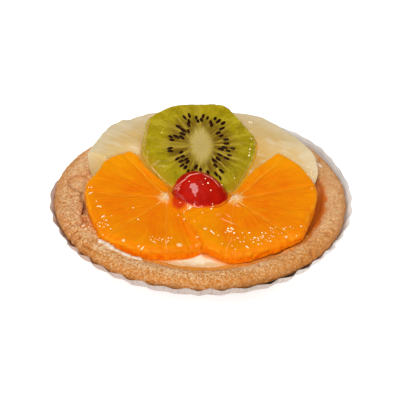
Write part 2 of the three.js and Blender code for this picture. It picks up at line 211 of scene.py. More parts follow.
class Finish:
    """A material in the making."""

    def __init__(self, name):
        self.material = bpy.data.materials.new(name)
        self.material.use_nodes = True
        self.tree = self.material.node_tree
        self.tree.nodes.clear()

    def node(self, kind, settings=None, inputs=None, output=0):
        """Any shader node: its settings first, then values or links for its sockets."""
        node = self.tree.nodes.new(kind)
        for key, value in (settings or {}).items():
            setattr(node, key, value)
        for key, value in (inputs or {}).items():
            if isinstance(value, Flow):
                self.tree.links.new(value.socket, node.inputs[key])
            else:
                node.inputs[key].default_value = value
        return Flow(self, node.outputs[output])

    def math(self, operation, *values):
        return self.node("ShaderNodeMath", {"operation": operation}, dict(enumerate(values)))

    def mix(self, factor, *colours):
        """The first colour where factor is 0, and the other where it is 1. A colour is a link or
        three screen values."""
        first, other = [each if isinstance(each, Flow) else tone(*each) for each in colours]
        inputs = {0: factor, 6: first, 7: other}
        return self.node("ShaderNodeMix", {"data_type": "RGBA"}, inputs, 2)

    def lay(self, colour, *layers):
        """Lays colours over a first one in turn, each with the mask that it goes through."""
        for mask, other in layers:
            colour = self.mix(mask, colour, other)
        return colour

    def place(self, centre=(0.0, 0.0, 0.0)):
        """The point being shaded, in millimetres from a centre."""
        inputs = {
            "Vector": self.node("ShaderNodeTexCoord", output="Object"),
            "Location": tuple(-value for value in centre), "Scale": (1.0 / MM,) * 3,
        }
        return self.node("ShaderNodeMapping", {"vector_type": "POINT"}, inputs)

    def join(self, *values):
        """A vector from three numbers."""
        return self.node("ShaderNodeCombineXYZ", None, dict(enumerate(values)))

    def parts(self, vector):
        """The three numbers of a vector."""
        split = self.node("ShaderNodeSeparateXYZ", None, {0: vector}).socket.node
        return [Flow(self, socket) for socket in split.outputs]

    def bearing(self, x, y):
        """Cosine, sine and zero of the direction of a point from the axis."""
        flat = self.join(x, y, 0.0)
        return self.parts(self.node("ShaderNodeVectorMath", {"operation": "NORMALIZE"}, {0: flat}))

    def wrap(self, bearing, girth, along):
        """A point on a cylinder round the axis. Noise read there is drawn out along the radius
        where along grows slowly."""
        return self.join(bearing[0] * girth, bearing[1] * girth, along)

    def noise(self, vector, size, detail=2.0, roughness=0.5):
        """Soft random field from 0 to 1 whose blobs are about size across."""
        inputs = {"Vector": vector, "Scale": 1.0 / size, "Detail": detail, "Roughness": roughness}
        return self.node("ShaderNodeTexNoise", {"noise_dimensions": "3D"}, inputs)

    def read(self, name):
        """A number stored on the mesh by mark."""
        return self.node("ShaderNodeAttribute", {"attribute_name": name}, output="Fac")

    def bump(self, height, distance):
        """A shading normal from a height field whose full rise is distance millimetres."""
        return self.node("ShaderNodeBump", None, {"Height": height, "Distance": distance * MM})

    def finished(self, colour, roughness, normal=None, specular=0.5, alpha=1.0,
                 flesh=(), coat=(), glow=()):
        """Joins the looks to the surface shader, and gives the material. flesh says how light
        spreads inside: its weight, the reaches of red, green and blue, and their scale in
        metres. coat is a clear layer: its weight, roughness and index. glow is a light of the
        surface's own: its colour and strength."""
        inputs = {"Base Color": colour, "Roughness": roughness, "Specular IOR Level": specular,
                  "Alpha": alpha}
        inputs.update(zip(("Subsurface Weight", "Subsurface Radius", "Subsurface Scale"), flesh))
        inputs.update(zip(("Coat Weight", "Coat Roughness", "Coat IOR"), coat))
        inputs.update(zip(("Emission Color", "Emission Strength"), glow))
        if normal is not None:
            inputs["Normal"] = normal
        surface = self.node("ShaderNodeBsdfPrincipled", None, inputs)
        out = self.tree.nodes.new("ShaderNodeOutputMaterial")
        self.tree.links.new(surface.socket, out.inputs["Surface"])
        return self.material


def case_wall(height_shares, side):
    """Rings of the wall, side 1 outside and -1 inside. The radius is a straight flare, steeper
    above the shoulder, plus a cosine with a little third harmonic for each flute, pressed
    flatter at the back, plus the oval, the bulges and slow waves, all growing with height."""
    phase = turns(FLUTES * FLUTE_COLUMNS)[None, :]
    azimuth = phase + 0.02 * np.sin(4.0 * phase) + 0.012 * np.sin(6.0 * phase)
    away = away_from(azimuth, CASE_DIP_AZIMUTH) / np.radians(CASE_DIP_HALF_WIDTH)
    rim = CASE_HEIGHTS[-1] - CASE_DIP * (1.0 - smoothstep(away, 0.35, 1.0))
    rim = rim + CASE_PEAK * smoothstep(away_from(azimuth, CASE_PEAK_AZIMUTH), 0.42, 0.14)
    height = np.asarray(height_shares)[:, None] * rim
    grown = height / CASE_HEIGHTS[-1]
    angle = FLUTES * phase + np.pi / 4.0
    uneven = 1.0 + 0.15 * np.cos(8.0 * phase) + 0.25 * np.cos(13.0 * phase + 1.0)
    front = smoothstep(-np.sin(azimuth), -0.1, 0.75)
    pressed = FLUTE_SHARE_BACK + (1.0 - FLUTE_SHARE_BACK) * front
    flute = (np.cos(angle) + 0.1 * np.cos(3.0 * angle)) * uneven * pressed
    fuller = bell(away_from(azimuth, FULLER_AZIMUTH), FULLER_WIDTH) + facing(azimuth, 180.0, 4)
    bulge = CASE_BULGE * facing(2.0 * azimuth, 2.0 * CASE_BULGE_AZIMUTH, 4) + CASE_FULLER * fuller
    waves = CASE_WAVES * lumps(spun(azimuth, 50.0, height), 6.0, 3)
    radius = np.interp(height, CASE_HEIGHTS, CASE_RADII) - CASE_FOOT_ROUND * np.exp(-height / 0.7)
    radius = radius + np.interp(height, CASE_HEIGHTS, FLUTE_DEPTHS) * flute
    radius = radius + grown * (CASE_OVAL * oval(azimuth) + bulge + waves)
    height = np.maximum(height + 0.12 * grown ** 6 * flute, CASE_PAPER if side < 0 else 0.0)
    return spun(azimuth, radius + side * CASE_PAPER / 2.0, height)


def paper_finish():
    """Matt white paper, cloudy and fibrous, with fine vertical press lines. The outside is darker
    lower down, painted shade where it faces the table, with grease in cloudy patches. The left is
    tinted brown, partly grease and partly the crust's colour painted in as reflection. The right
    is painted lighter, a painted pool of light, and greyer towards the back."""
    finish = Finish("greaseproof_paper")
    place = finish.place()
    x, y, height = finish.parts(place)
    cloud = finish.noise(place, 14.0, 3.0)
    fibre = finish.noise(place, 0.5, 4.0, 0.7)
    press = finish.noise(finish.wrap(finish.bearing(x, y), 55.0, height * 0.05), 0.7, 2.0)
    right = x.step(20.0, 45.0)
    # Outside: darker lower down, painted shade where the wall faces the table, with grease in the
    # cloudy patches, then press lines, then painted lighter at the right, a painted pool of light.
    outside = finish.lay(
        (196, 178, 168),
        (height.step(18.5, 9.0) * 0.7 + cloud.step(0.4, 0.75) * 0.3, (170, 142, 127)),
        (press.step(0.5, 0.7) * 0.5, (156, 134, 123)),
        (right * 0.5, (246, 242, 236)))
    # Both sides: painted lighter at the right, a painted pool of light, and greyer towards the
    # back there; the outside laid over; then a brown tint at the left, partly grease and partly
    # the crust's colour painted in as reflection.
    colour = finish.lay(
        (228, 224, 219),
        (right * y.step(6.0, -4.0) * 0.6, (246, 242, 236)),
        (right * y.step(4.0, 14.0), (206, 201, 196)),
        (finish.read("outside"), outside),
        (x.step(-20.0, -45.0) * 0.7, (188, 146, 122)))
    normal = finish.bump(fibre * 0.5 + press * 0.5, 0.12)
    return finish.finished(colour, 0.62 + fibre * 0.12, normal)


case_shares = np.linspace(0.0, 1.0, 13) ** 1.3
case_rings = np.concatenate([case_wall(case_shares, -1), case_wall(case_shares[::-1], 1)])
case_piece = make_piece(
    "fluted_paper", closed_rings(case_rings, (0.0, 0.0, CASE_PAPER), (0.0, 0.0, 0.0)),
    paper_finish(), ["paper_case"])
mark(case_piece, "outside", np.repeat([0.0, 1.0], case_rings.size // 6), (0.0, 1.0))


# --- Crust ------------------------------------------------------------------------------------
# A shell of shortcrust, rolled, pressed into its tin by hand and baked blind. Its broad rounded
# lip is sandy and pitted, browner outside, and soaked with syrup on its inner slope.

CRUST_COLUMNS, CRUST_OFFSET = 720, (-0.1, 0.0, 0.0)
CRUST_FLOOR, CRUST_UNDERSIDE = 6.0, 0.8
# Stations of the section before and after the lip's inner edge: radius, height, and the share
# of the lip's unevenness.
CRUST_INSIDE = [(29.0, CRUST_FLOOR, 0.0), (33.0, 7.0, 0.0), (37.5, 12.5, 0.2)]
CRUST_OUTSIDE = [
    (49.0, 21.3, 1.0), (50.9, 21.2, 1.0), (52.7, 20.7, 1.0), (53.8, 19.7, 1.0), (54.2, 18.2, 1.0),
    (53.5, 16.4, 0.6), (51.7, 14.6, 0.2), (44.0, 8.2, 0.0), (36.1, 1.6, 0.0),
    (34.7, CRUST_UNDERSIDE, 0.0),
]
LIP_RADIUS, LIP_EDGE_HEIGHT, LIP_WIDER_LEFT, LIP_NARROWER_FRONT = 46.1, 20.3, 2.5, 1.2
SLOPE_WIDTH, SLOPE_WIDER_FRONT, SLOPE_HEIGHT = 3.5, 2.0, 16.8
CRUST_OVAL, CRUST_FULLER, CRUST_FULLER_LEFT = 0.8, 0.9, 0.9
CRUST_DENT, CRUST_DENT_AZIMUTH, CRUST_DENT_WIDTH = 1.3, 143.0, 0.22
THUMB_X, THUMB_Y, THUMB_RADIUS, THUMB_DEPTH = -45.4, 6.0, 4.9, 1.2
CREASE_AZIMUTH, CREASE_WIDTH, CREASE_DEPTH = 203.5, 0.9, 0.7
# A patch of painted shade on the lip at the right, and a spot soaked with syrup at the left, at x,
# y.
SHADE_PATCH_X, SHADE_PATCH_Y, SOAKED_X, SOAKED_Y = 46.0, 8.0, -42.2, -20.0
# Pits at x, y with width and depth, and creases with width, depth and their path in x, y.
CRUST_PITS = [
    (-18.5, -49.0, 0.6, 0.9), (39.1, -36.9, 0.55, 1.0), (-50.3, 7.4, 0.5, 0.8),
    (36.6, -35.8, 0.5, 0.6), (-42.5, -25.5, 0.5, 0.6), (46.4, 2.0, 0.5, 0.5),
]
CRUST_CREASES = [
    (1.25, 0.5, [(-50.0, 5.4), (-50.2, 8.0), (-49.0, 10.4), (-46.6, 11.4), (-43.6, 10.8),
        (-41.0, 9.0)]), (1.1, 0.42, [(-48.6, 5.0), (-46.6, 3.6), (-45.0, 0.4), (-44.4, -3.4)]),
    (0.5, 1.7, [(-43.3, -3.6), (-43.1, -8.4), (-43.6, -13.6)]),
    (0.4, 1.2, [(-42.8, -10.0), (-42.6, -13.4)]),
    (0.45, 1.0, [(-44.6, -14.6), (-43.0, -16.6), (-41.6, -18.6)]),
    (0.4, 0.7, [(-51.3, -19.2), (-48.5, -17.9)]), (0.4, 0.75, [(-48.0, -26.6), (-44.8, -24.4)]),
    (0.4, 0.7, [(-48.9, -22.1), (-46.3, -21.1)]), (0.45, 0.8, [(-46.1, -29.1), (-42.3, -26.9)]),
    (0.5, -0.5, [(-42.0, -29.9), (-38.0, -33.3)]), (0.45, 0.75, [(-42.8, -31.9), (-39.2, -34.9)]),
    (0.4, 0.6, [(-50.3, -21.4), (-47.2, -20.0)]), (0.4, 0.6, [(-51.6, -14.9), (-49.0, -14.2)]),
    (0.4, 0.45, [(-37.3, -36.3), (-35.1, -38.5)]),
]


def lip_radius(azimuth):
    """Radius of the lip's inner edge: the lip is wider at the left and narrower in front."""
    return (LIP_RADIUS - LIP_WIDER_LEFT * facing(azimuth, 180.0, 2)
            + LIP_NARROWER_FRONT * bell(away_from(azimuth, -92.0), 0.5))


def crust_stations(azimuth):
    """The section at each azimuth, from the floor over the lip to the underside: radius, height
    and the share of the lip's unevenness. The inner slope is gentler at the front."""
    front = 0.5 - 0.5 * np.sin(azimuth)
    lip = lip_radius(azimuth)
    slope, rise = lip - SLOPE_WIDTH - SLOPE_WIDER_FRONT * front, SLOPE_HEIGHT + front
    stations = [
        *CRUST_INSIDE, (slope, rise, 0.5), ((lip + slope) / 2.0, (20.2 + rise) / 2.0, 0.8),
        (lip, LIP_EDGE_HEIGHT, 1.0), (lip + 1.3, 21.0, 1.0), *CRUST_OUTSIDE]
    return np.array([np.stack(np.broadcast_arrays(*station, azimuth)[:3], axis=-1)
                     for station in stations])


def smooth_through(stations, t):
    """The Catmull-Rom curve through stations, at parameters t that are whole at each station."""
    last = len(stations) - 1
    i = np.clip(np.floor(t).astype(int), 0, last - 1)
    f = (t - i)[:, None, None]
    a, b = stations[np.maximum(i - 1, 0)], stations[i]
    c, d = stations[i + 1], stations[np.minimum(i + 2, last)]
    return 0.5 * (2 * b + (c - a) * f + (2 * a - 5 * b + 4 * c - d) * f ** 2
                  + (3 * b - a - 3 * c + d) * f ** 3)


def lengths_along(path):
    """Distance along the straight lines through a path's points, at each of them."""
    return np.append(0.0, np.cumsum(np.linalg.norm(np.diff(path, axis=0), axis=1)))


def even_between(stations, first, last, count):
    """Parameters that split the mean curve from one station to another into even lengths."""
    fine = np.linspace(first, last, 400)
    length = lengths_along(smooth_through(stations, fine).mean(axis=1)[:, :2])
    return np.interp(np.linspace(0.0, length[-1], count + 1)[:-1], length, fine)


def thumb_gap(x, y):
    """Distance from the middle of the thumb's print, as a share of its radius."""
    return np.hypot(x - THUMB_X, y - THUMB_Y) / THUMB_RADIUS


def crust_rings(columns, t):
    """Rings of the crust's plain surface at section parameters t, and the share at each point.
    The lip is oval, fuller at two places and dented at one, and three sines wave it slowly."""
    azimuth = turns(columns)
    radius, height, share = np.moveaxis(smooth_through(crust_stations(azimuth), t), -1, 0)
    uneven = (CRUST_OVAL * oval(azimuth) + CRUST_FULLER_LEFT * facing(azimuth, 180.0, 2)
              + CRUST_FULLER * bell(away_from(azimuth, FULLER_AZIMUTH), FULLER_WIDTH)
              - CRUST_DENT * bell(away_from(azimuth, CRUST_DENT_AZIMUTH), CRUST_DENT_WIDTH))
    waves = sum(rise * np.sin(count * azimuth + phase)
                for rise, count, phase in ((0.28, 3, 0.8), (0.2, 7, 2.1), (0.12, 13, 0.4)))
    rings = spun(azimuth, radius + share * uneven, height + share * waves)
    pressed = THUMB_DEPTH * smoothstep(thumb_gap(rings[..., 0], rings[..., 1]), 1.15, 0.6)
    rings[..., 2] -= np.where(share > 0.5, pressed, 0.0)
    return rings + CRUST_OFFSET, share


def unit(vectors):
    """Vectors of length 1 the same way."""
    return vectors / np.maximum(np.linalg.norm(vectors, axis=-1, keepdims=True), 1e-9)


def outward(rings):
    """Unit normals of rings: the way to the next ring crossed with the way round."""
    along = np.roll(rings, -1, axis=1) - np.roll(rings, 1, axis=1)
    return unit(np.cross(np.gradient(rings, axis=0), along))


def path_gap(path, x, y):
    """Distance in plan to the nearest of a path's straight lengths."""
    gaps = []
    for (x0, y0), (x1, y1) in zip(path, path[1:]):
        along = ((x - x0) * (x1 - x0) + (y - y0) * (y1 - y0)) / ((x1 - x0) ** 2 + (y1 - y0) ** 2)
        along = np.clip(along, 0.0, 1.0)
        gaps.append(np.hypot(x - x0 - along * (x1 - x0), y - y0 - along * (y1 - y0)))
    return np.minimum.reduce(gaps)


def swells(points, seed, *layers):
    """Layers of lumps added up, each with its height and size, and with the next seed."""
    return sum(height * lumps(points, size, seed + number)
               for number, (height, size) in enumerate(layers))


def crust_relief(rings, share):
    """Height outwards: sandy crumb at four sizes, ridges that run down the outer edge, a ridge
    along the lip's inner edge with a hollow inside it, less pits and creases, and less one long
    crease across the lip at the left."""
    x, y, z = np.moveaxis(rings, -1, 0)
    azimuth, radius = np.arctan2(y, x), np.hypot(x, y)
    relief = swells(rings, 11, (0.14, 4.5), (0.09, 1.9), (0.09, 1.0), (0.08, 0.6))
    outer = smoothstep(radius, 50.5, 53.5) * share
    relief = relief + 0.16 * outer * lumps(spun(azimuth, 54.0, z * 0.18), 1.1, 15)
    deep = (0.25 * smoothstep(lumps(rings, 1.25, 16), 0.55, 0.8)
            + 0.5 * smoothstep(lumps(rings, 2.3, 17), 0.68, 0.8))
    for pit_x, pit_y, width, depth in CRUST_PITS:
        deep = deep + depth * bell(np.hypot(x - pit_x, y - pit_y), width)
    for width, depth, path in CRUST_CREASES:
        deep = deep + depth * bell(path_gap(path, x, y), width)
    across = away_from(azimuth + 0.03 * np.sin(radius), CREASE_AZIMUTH) * radius
    crease = CREASE_DEPTH * bell(across, CREASE_WIDTH) * smoothstep(radius, 52.5, 48.5)
    past_lip = radius - 0.2 - lip_radius(azimuth)
    ridge = (0.26 + 0.12 * lumps(rings, 5.0, 18)) * bell(past_lip, 0.8)
    return ((relief - deep) * (0.35 + 0.65 * share) - crease * share
            + ridge - 0.2 * bell(past_lip + 1.7, 0.8))


def crust_shares(rings, relief, t):
    """Shares from 0 to 1 at each point of brown and painted shade, of depth in a hollow, of syrup
    and of the paler lip top. The outer edge and brush strokes are baked brown, and the thumb
    print's rim and one patch on the lip at the right are painted shade. The syrup reaches up the
    inner slope, further at the right, and soaked one spot at the left."""
    x, y, _ = np.moveaxis(rings, -1, 0)
    azimuth, reach = np.arctan2(y, x), np.hypot(x, y)
    strokes = smoothstep(lumps(spun(azimuth, 50.0, 0.2 * reach), 1.2, 23), 0.1, 0.45)
    lower_left = smoothstep(away_from(azimuth, -153.0), 0.32, 0.14)
    # Baked brown on the outer edge and along brush strokes; painted shade round the thumb print's
    # rim and on a patch of the lip at the right.
    browned_and_shaded = (smoothstep(reach, 50.5, 54.5) * 0.7 + smoothstep(t[:, None], 11.0, 12.5) * 0.3
               + strokes * (0.22 + 0.8 * lower_left) + 0.7 * bell(thumb_gap(x, y) - 0.95, 0.2)
               + 0.8 * bell(x - SHADE_PATCH_X, 5.0 ** 0.5) * bell(y - SHADE_PATCH_Y, 12.0 ** 0.5))
    right = smoothstep(away_from(azimuth, -20.0), 0.65, 0.25)
    front = smoothstep(away_from(azimuth, -80.0), 1.3, 0.7)
    left = smoothstep(away_from(azimuth, 170.0), 0.7, 0.4)
    up = t[:, None] + swells(rings, 21, (0.35, 4.0), (0.25, 1.5))
    syrup = smoothstep(up - 0.65 * right, 5.1 + 0.25 * right, 4.75 - 0.45 * right)
    syrup = syrup * np.clip(0.4 + 0.6 * right + 0.25 * front - 0.25 * left, 0.0, 1.0)
    syrup = np.maximum(syrup, 0.75 * smoothstep(up, 4.8, 4.2) * front)
    syrup = np.maximum(syrup, 0.42 * bell(x - SOAKED_X, 3.4) * bell(y - SOAKED_Y, 4.4))
    # Paler along the top of the lip, in patches, and less so at the right.
    paler_lip_top = (smoothstep(reach, 45.8, 47.5) * smoothstep(reach, 52.4, 50.4)
              * smoothstep(lumps(rings, 5.0, 24), -0.6, 0.4))
    return {"browned_and_shaded": browned_and_shaded, "hollow": smoothstep(-relief, 0.22, 0.75), "syrup": syrup,
            "paler_lip_top": paler_lip_top}


def crust_finish():
    """Baked dough: pale sandy crumbs and brown ones over biscuit, paler along the top of the lip,
    browner in front and on the outer edge, with painted shade round the thumb print, on a patch at
    the right and in hollows, and amber where syrup soaked in."""
    finish = Finish("shortcrust")
    place = finish.place()
    x, y, _ = finish.parts(place)
    cloud = finish.noise(place, 9.0, 3.0)
    crumb = finish.noise(place, 2.6, 3.0, 0.6)
    sand = finish.noise(place, 0.74, 2.0, 0.7)
    fleck = finish.noise(place, 1.3, 1.0, 0.4)
    syrup = finish.read("syrup")
    sandy = 1.0 - 0.4 * x.step(5.0, 35.0) - 0.35 * y.step(-8.0, 12.0)
    amber = finish.mix(y.step(-18.0, -34.0) * 0.85, (208, 102, 2), (238, 152, 40))
    colour = finish.lay(
        (220, 171, 118),
        (cloud.step(0.3, 0.7), (212, 157, 98)),
        (y.step(-14.0, -38.0) * 0.72, (204, 134, 46)),
        (finish.read("paler_lip_top") * (0.55 - 0.45 * x.step(15.0, 40.0)), (230, 192, 148)),
        (crumb.step(0.5, 0.68) * 0.45, (200, 130, 66)),
        (crumb.step(0.46, 0.32) * 0.35, (234, 196, 150)),
        (sand.step(0.5, 0.6) * sandy * 0.75, (236, 204, 160)),
        (sand.step(0.49, 0.39) * sandy * 0.85, (188, 106, 34)),
        # Baked brown, and painted shade round the thumb print and on the patch at the right.
        (finish.read("browned_and_shaded") * 0.6, (194, 116, 48)),
        (syrup * 0.94, amber),
        (fleck.step(0.68, 0.78) * 0.7, (172, 88, 30)),
        # Painted shade: darker brown in pits and creases.
        (finish.read("hollow") * 0.65, (166, 92, 40)))
    normal = finish.bump(sand * 0.6 + crumb * 0.4, 0.35)
    return finish.finished(colour, 0.85 - syrup * 0.2, normal, specular=0.12)


crust_section = crust_stations(turns(CRUST_COLUMNS))
crust_t = np.concatenate([
    *(even_between(crust_section, *run) for run in ((0, 3, 12), (3, 13, 66), (13, 16, 12))),
    [len(crust_section) - 1.0]])
crust_plain, crust_share = crust_rings(CRUST_COLUMNS, crust_t)
crust_height = crust_relief(crust_plain, crust_share)
crust_piece = make_piece(
    "baked_shell", closed_rings(
        crust_plain + crust_height[..., None] * outward(crust_plain),
        np.add(CRUST_OFFSET, (0.0, 0.0, CRUST_FLOOR)),
        np.add(CRUST_OFFSET, (0.0, 0.0, CRUST_UNDERSIDE))),
    crust_finish(), ["crust"])
for label, shares in crust_shares(crust_plain, crust_height, crust_t).items():
    mark(crust_piece, label, np.clip(shares, 0.0, 1.0))


# --- Fruit slices, as shapes ------------------------------------------------------------------
# Two slices of peeled orange and one of kiwi lie on the cream and on each other. Their outlines
# and faces are settled first, because cream and pineapple are pressed flat under them.

# Cuts and corners: direction in degrees, with a flat's distance or a corner's height.
ORANGE_RADIUS, ORANGE_PITH_HEIGHT, ORANGE_THICKNESS = 29.4, 24.5, 4.5
ORANGE_RISE, ORANGE_CURVE, ORANGE_CORNER_WIDTH = 0.095, 0.0017, 13.0
LEFT_PITH, RIGHT_PITH = (-12.6, -8.6), (12.5, -9.2)
LEFT_CUTS = [(36, 4.1), (58, 13.7)]
LEFT_CORNERS = [(138, 1.9), (169, 1.7), (224, 2), (255, 1.4), (280, 0.5), (311, -1.6)]
LEFT_FALL, LEFT_PRESSED = 0.035, 1.2
RIGHT_CUTS = [(148, 1.8), (131, 6.7)]
RIGHT_CORNERS = [(3, 0.9), (-44, 2.4), (-66, 1.0), (-90, 2.4)]
RIGHT_LAST_CUT = [(-155, 22.2)]
RIGHT_MISSING_FROM, RIGHT_MISSING_TO, RIGHT_PITH_RADIUS = 140.0, 204.0, 2.4
RIGHT_RISE, RIGHT_LIFTED = 0.105, 1.1
KIWI_CENTRE = (-0.3, 15.7, 30.0)
KIWI_CUTS = [(99, 21.3), (40, 22.4), (0, 21.7), (-26, 19.6), (-75, 20.5), (-125, 21.6),
             (-147, 22.1), (174, 22.1), (128, 22.1)]
KIWI_THICKNESS, KIWI_RISE_BACK, KIWI_FALL_RIGHT = 5.0, 22.3, 8.2
CUT_SHARPNESS = 22.0


class Slice:
    """A slice whose outline is star-shaped round a centre in plan. top(x, y) is the height of
    its upper face, and the under face is thickness below that."""

    def __init__(self, centre, outline, top, thickness):
        self.centre, self.top, self.thickness = np.array(centre), top, thickness
        x, y = (outline - self.centre).T
        order = np.argsort(np.arctan2(y, x))
        self.angles, self.radii = np.arctan2(y, x)[order], np.hypot(x, y)[order]

    def radius(self, angle):
        return np.interp(angle, self.angles, self.radii, period=2.0 * np.pi)

    def past(self, x, y):
        """Distance past the outline, along the line from the centre. It is negative inside."""
        dx, dy = x - self.centre[0], y - self.centre[1]
        return np.hypot(dx, dy) - self.radius(np.arctan2(dy, dx))

    def even_angles(self, columns):
        """Directions, from the centre, of points evenly spaced along the outline."""
        angles = np.append(self.angles, self.angles[0] + 2.0 * np.pi)
        flat = spun(angles, np.append(self.radii, self.radii[0]), 0.0)
        length = lengths_along(flat)
        return np.interp(np.arange(columns) * length[-1] / columns, length, angles)


def cut_radius(cuts, angle):
    """Distance to the nearest of the knife's flats in each direction: the sum of the flats'
    nearness to a high power, so that their corners come out rounded."""
    total = sum(facing(angle, direction, CUT_SHARPNESS) / distance ** CUT_SHARPNESS
                for direction, distance in cuts)
    return np.maximum(total, 1e-60) ** (-1.0 / CUT_SHARPNESS)


def orange_radius(angle, cuts, corners):
    """A circle with a bell-shaped corner where a segment ends, or the knife's cut if nearer."""
    bells = sum(height * bell(away_from(angle, direction), np.radians(ORANGE_CORNER_WIDTH))
                for direction, height in corners)
    return np.minimum(ORANGE_RADIUS + bells, cut_radius(cuts, angle))


def right_orange_radius(angle):
    """Only the pith is left where segments are missing, and the last segment ends in a cut."""
    direction = np.degrees(angle) % 360.0
    last = orange_radius(angle, RIGHT_LAST_CUT, RIGHT_CORNERS)
    grown = smoothstep(direction, RIGHT_MISSING_TO - 7.0, RIGHT_MISSING_TO)
    past = RIGHT_PITH_RADIUS + (last - RIGHT_PITH_RADIUS) * grown
    return np.where(direction < RIGHT_MISSING_FROM,
                    orange_radius(angle, RIGHT_CUTS, RIGHT_CORNERS), past)


def orange_sag(y, pith):
    """The slices rise to the back, and more so the further they go: a parabola."""
    back = y - pith[1]
    return ORANGE_PITH_HEIGHT + ORANGE_RISE * back + ORANGE_CURVE * back * back


def left_orange_top(x, y):
    """Falls slightly to the right, and is pressed down under the other slice's last segment."""
    return (orange_sag(y, LEFT_PITH) - LEFT_FALL * (x - LEFT_PITH[0])
            - LEFT_PRESSED * smoothstep(x, -10.0, 2.0))


def right_orange_top(x, y):
    """Rises to the right of its pith, and is lifted over the left slice."""
    right = x - RIGHT_PITH[0]
    return (orange_sag(y, RIGHT_PITH) + RIGHT_RISE * np.maximum(right, 0.0)
            + RIGHT_LIFTED * smoothstep(-right, 3.0, 13.0))


def kiwi_top(x, y):
    """A plane that rises to the back and falls to the right."""
    return (KIWI_CENTRE[2] + np.tan(np.radians(KIWI_RISE_BACK)) * (y - KIWI_CENTRE[1])
            - np.tan(np.radians(KIWI_FALL_RIGHT)) * (x - KIWI_CENTRE[0]))


def round_outline(centre, radius, lean=(1.0, 1.0)):
    """Plan points of radius(angle) round a centre, foreshortened by a slice's lean."""
    angle = turns(1440)
    return np.array(centre) + spun(angle, radius(angle), 0.0)[:, :2] * lean


kiwi_lean = (np.cos(np.radians(KIWI_FALL_RIGHT)), np.cos(np.radians(KIWI_RISE_BACK)))
left_orange = Slice(
    LEFT_PITH,
    round_outline(LEFT_PITH, lambda angle: orange_radius(angle, LEFT_CUTS, LEFT_CORNERS)),
    left_orange_top, ORANGE_THICKNESS)
right_orange = Slice(
    RIGHT_PITH, round_outline(RIGHT_PITH, right_orange_radius), right_orange_top,
    ORANGE_THICKNESS)
kiwi = Slice(
    KIWI_CENTRE[:2],
    round_outline(KIWI_CENTRE[:2], lambda angle: cut_radius(KIWI_CUTS, angle), kiwi_lean),
    kiwi_top, KIWI_THICKNESS / kiwi_lean[1])
slices = [left_orange, right_orange, kiwi]


def soft_least(a, b):
    """The lesser of two heights, rounded off where they are within 1 of each other."""
    near = np.maximum(1.0 - np.abs(a - b), 0.0)
    return np.minimum(a, b) - near ** 2 / 4.0


def press_under(points, ramp=0.4):
    """Lowers points to just under any slice that lies over them. Past the slice's edge they rise
    steeply to its face, and from there along a soft curve that steepens to the ramp."""
    x, y, z = np.moveaxis(points, -1, 0)
    for piece in slices:
        past = np.maximum(piece.past(x, y), 0.0)
        limit = piece.top(x, y) - 0.1 + ramp * past ** 2 / (past + 1.0)
        pressed = np.minimum(z, piece.top(x, y) - piece.thickness - 0.05)
        z = pressed + (soft_least(z, limit) - pressed) * smoothstep(past, 0.0, 0.45)
    return np.stack([x, y, z], axis=-1)


# --- Cream ------------------------------------------------------------------------------------
# Pastry cream, spooned into the shell and smoothed into a low dome. The fruit sinks into it, and
# a crescent of it shows at the front, orange along its edges by the slices: partly juice stain,
# partly a painted glow of light through them.

CREAM_EDGE_HEIGHT, CREAM_CROWN = 18.2, 2.6
CREAM_COLUMNS = 480
CREAM_GAP = 0.12


def cream_rings():
    """The dome's height falls with the square of the share of the way out. Its last rings
    turn down along the crust's inside to the floor."""
    wall, _ = crust_rings(CREAM_COLUMNS, np.array([3.25, 3.0, 2.5, 2.0, 1.0, 0.3]))
    wall = wall + CREAM_GAP * outward(wall)
    share = np.linspace(0.04, 0.985, 70)[:, None]
    x, y = wall[0, :, 0] * share, wall[0, :, 1] * share
    dome = CREAM_EDGE_HEIGHT + CREAM_CROWN * (1.0 - share ** 2)
    edge = wall[0, :, 2] - 0.02
    height = dome + (edge - dome) * smoothstep(share, 0.93, 1.0)
    top = np.stack(np.broadcast_arrays(x, y, height), axis=-1)
    swirl = 0.22 * lumps(top * (1.0, 1.0, 0.2), 7.0, 31) + 0.12 * lumps(top, 2.6, 32)
    top[..., 2] += swirl * smoothstep(share, 1.0, 0.9)
    return np.concatenate([press_under(top), wall])


def cream_finish():
    """Smooth and moist: cream white; peach near the crust, partly glaze and partly painted shade
    with the crust's colour painted in as reflection; and orange right beside the orange slices,
    partly juice stain and partly a painted glow of light through them."""
    finish = Finish("pastry_cream")
    place = finish.place()
    x, y, _ = finish.parts(place)
    cloud = finish.noise(place, 3.0, 3.0)
    reach = (x * x + y * y) ** 0.5 + cloud * 3.0
    colour = finish.lay(
        (242, 231, 201),
        (cloud.step(0.35, 0.7), (234, 215, 173)),
        # Peach near the crust: partly glaze, partly painted shade with the crust's colour painted
        # in as reflection.
        (reach.step(40.6, 43.2) * 0.7, (226, 172, 112)),
        # Orange beside the slices: partly juice stain, partly a painted glow of light through
        # them.
        (finish.read("stained") * 0.85, (244, 146, 34)))
    return finish.finished(
        colour, 0.38, finish.bump(cloud, 0.25), flesh=(0.15, (0.8, 0.7, 0.5), 0.002))


cream_surface = cream_rings()
cream_shape = closed_rings(
    cream_surface, (0.0, 0.0, cream_surface[0, :, 2].mean()), (0.0, 0.0, CRUST_FLOOR + CREAM_GAP))
cream_piece = make_piece("pastry_cream", cream_shape, cream_finish(), ["cream"])
cream_points = cream_shape[0]
from_orange = np.minimum(*(piece.past(*cream_points[:, :2].T) for piece in slices[:2]))
# Juice stain and painted glow beside the orange slices.
juice_stain_and_glow = smoothstep(from_orange + 0.35 * lumps(cream_points, 1.6, 33), 1.3, 0.2)
mark(cream_piece, "stained", juice_stain_and_glow, ())


# --- Pineapple --------------------------------------------------------------------------------
# Two pieces of a pineapple ring, peeled and cored, lie round the back with the kiwi leaning on
# them. The flesh is pale with fibres that run out from the core, and clear glaze covers it.

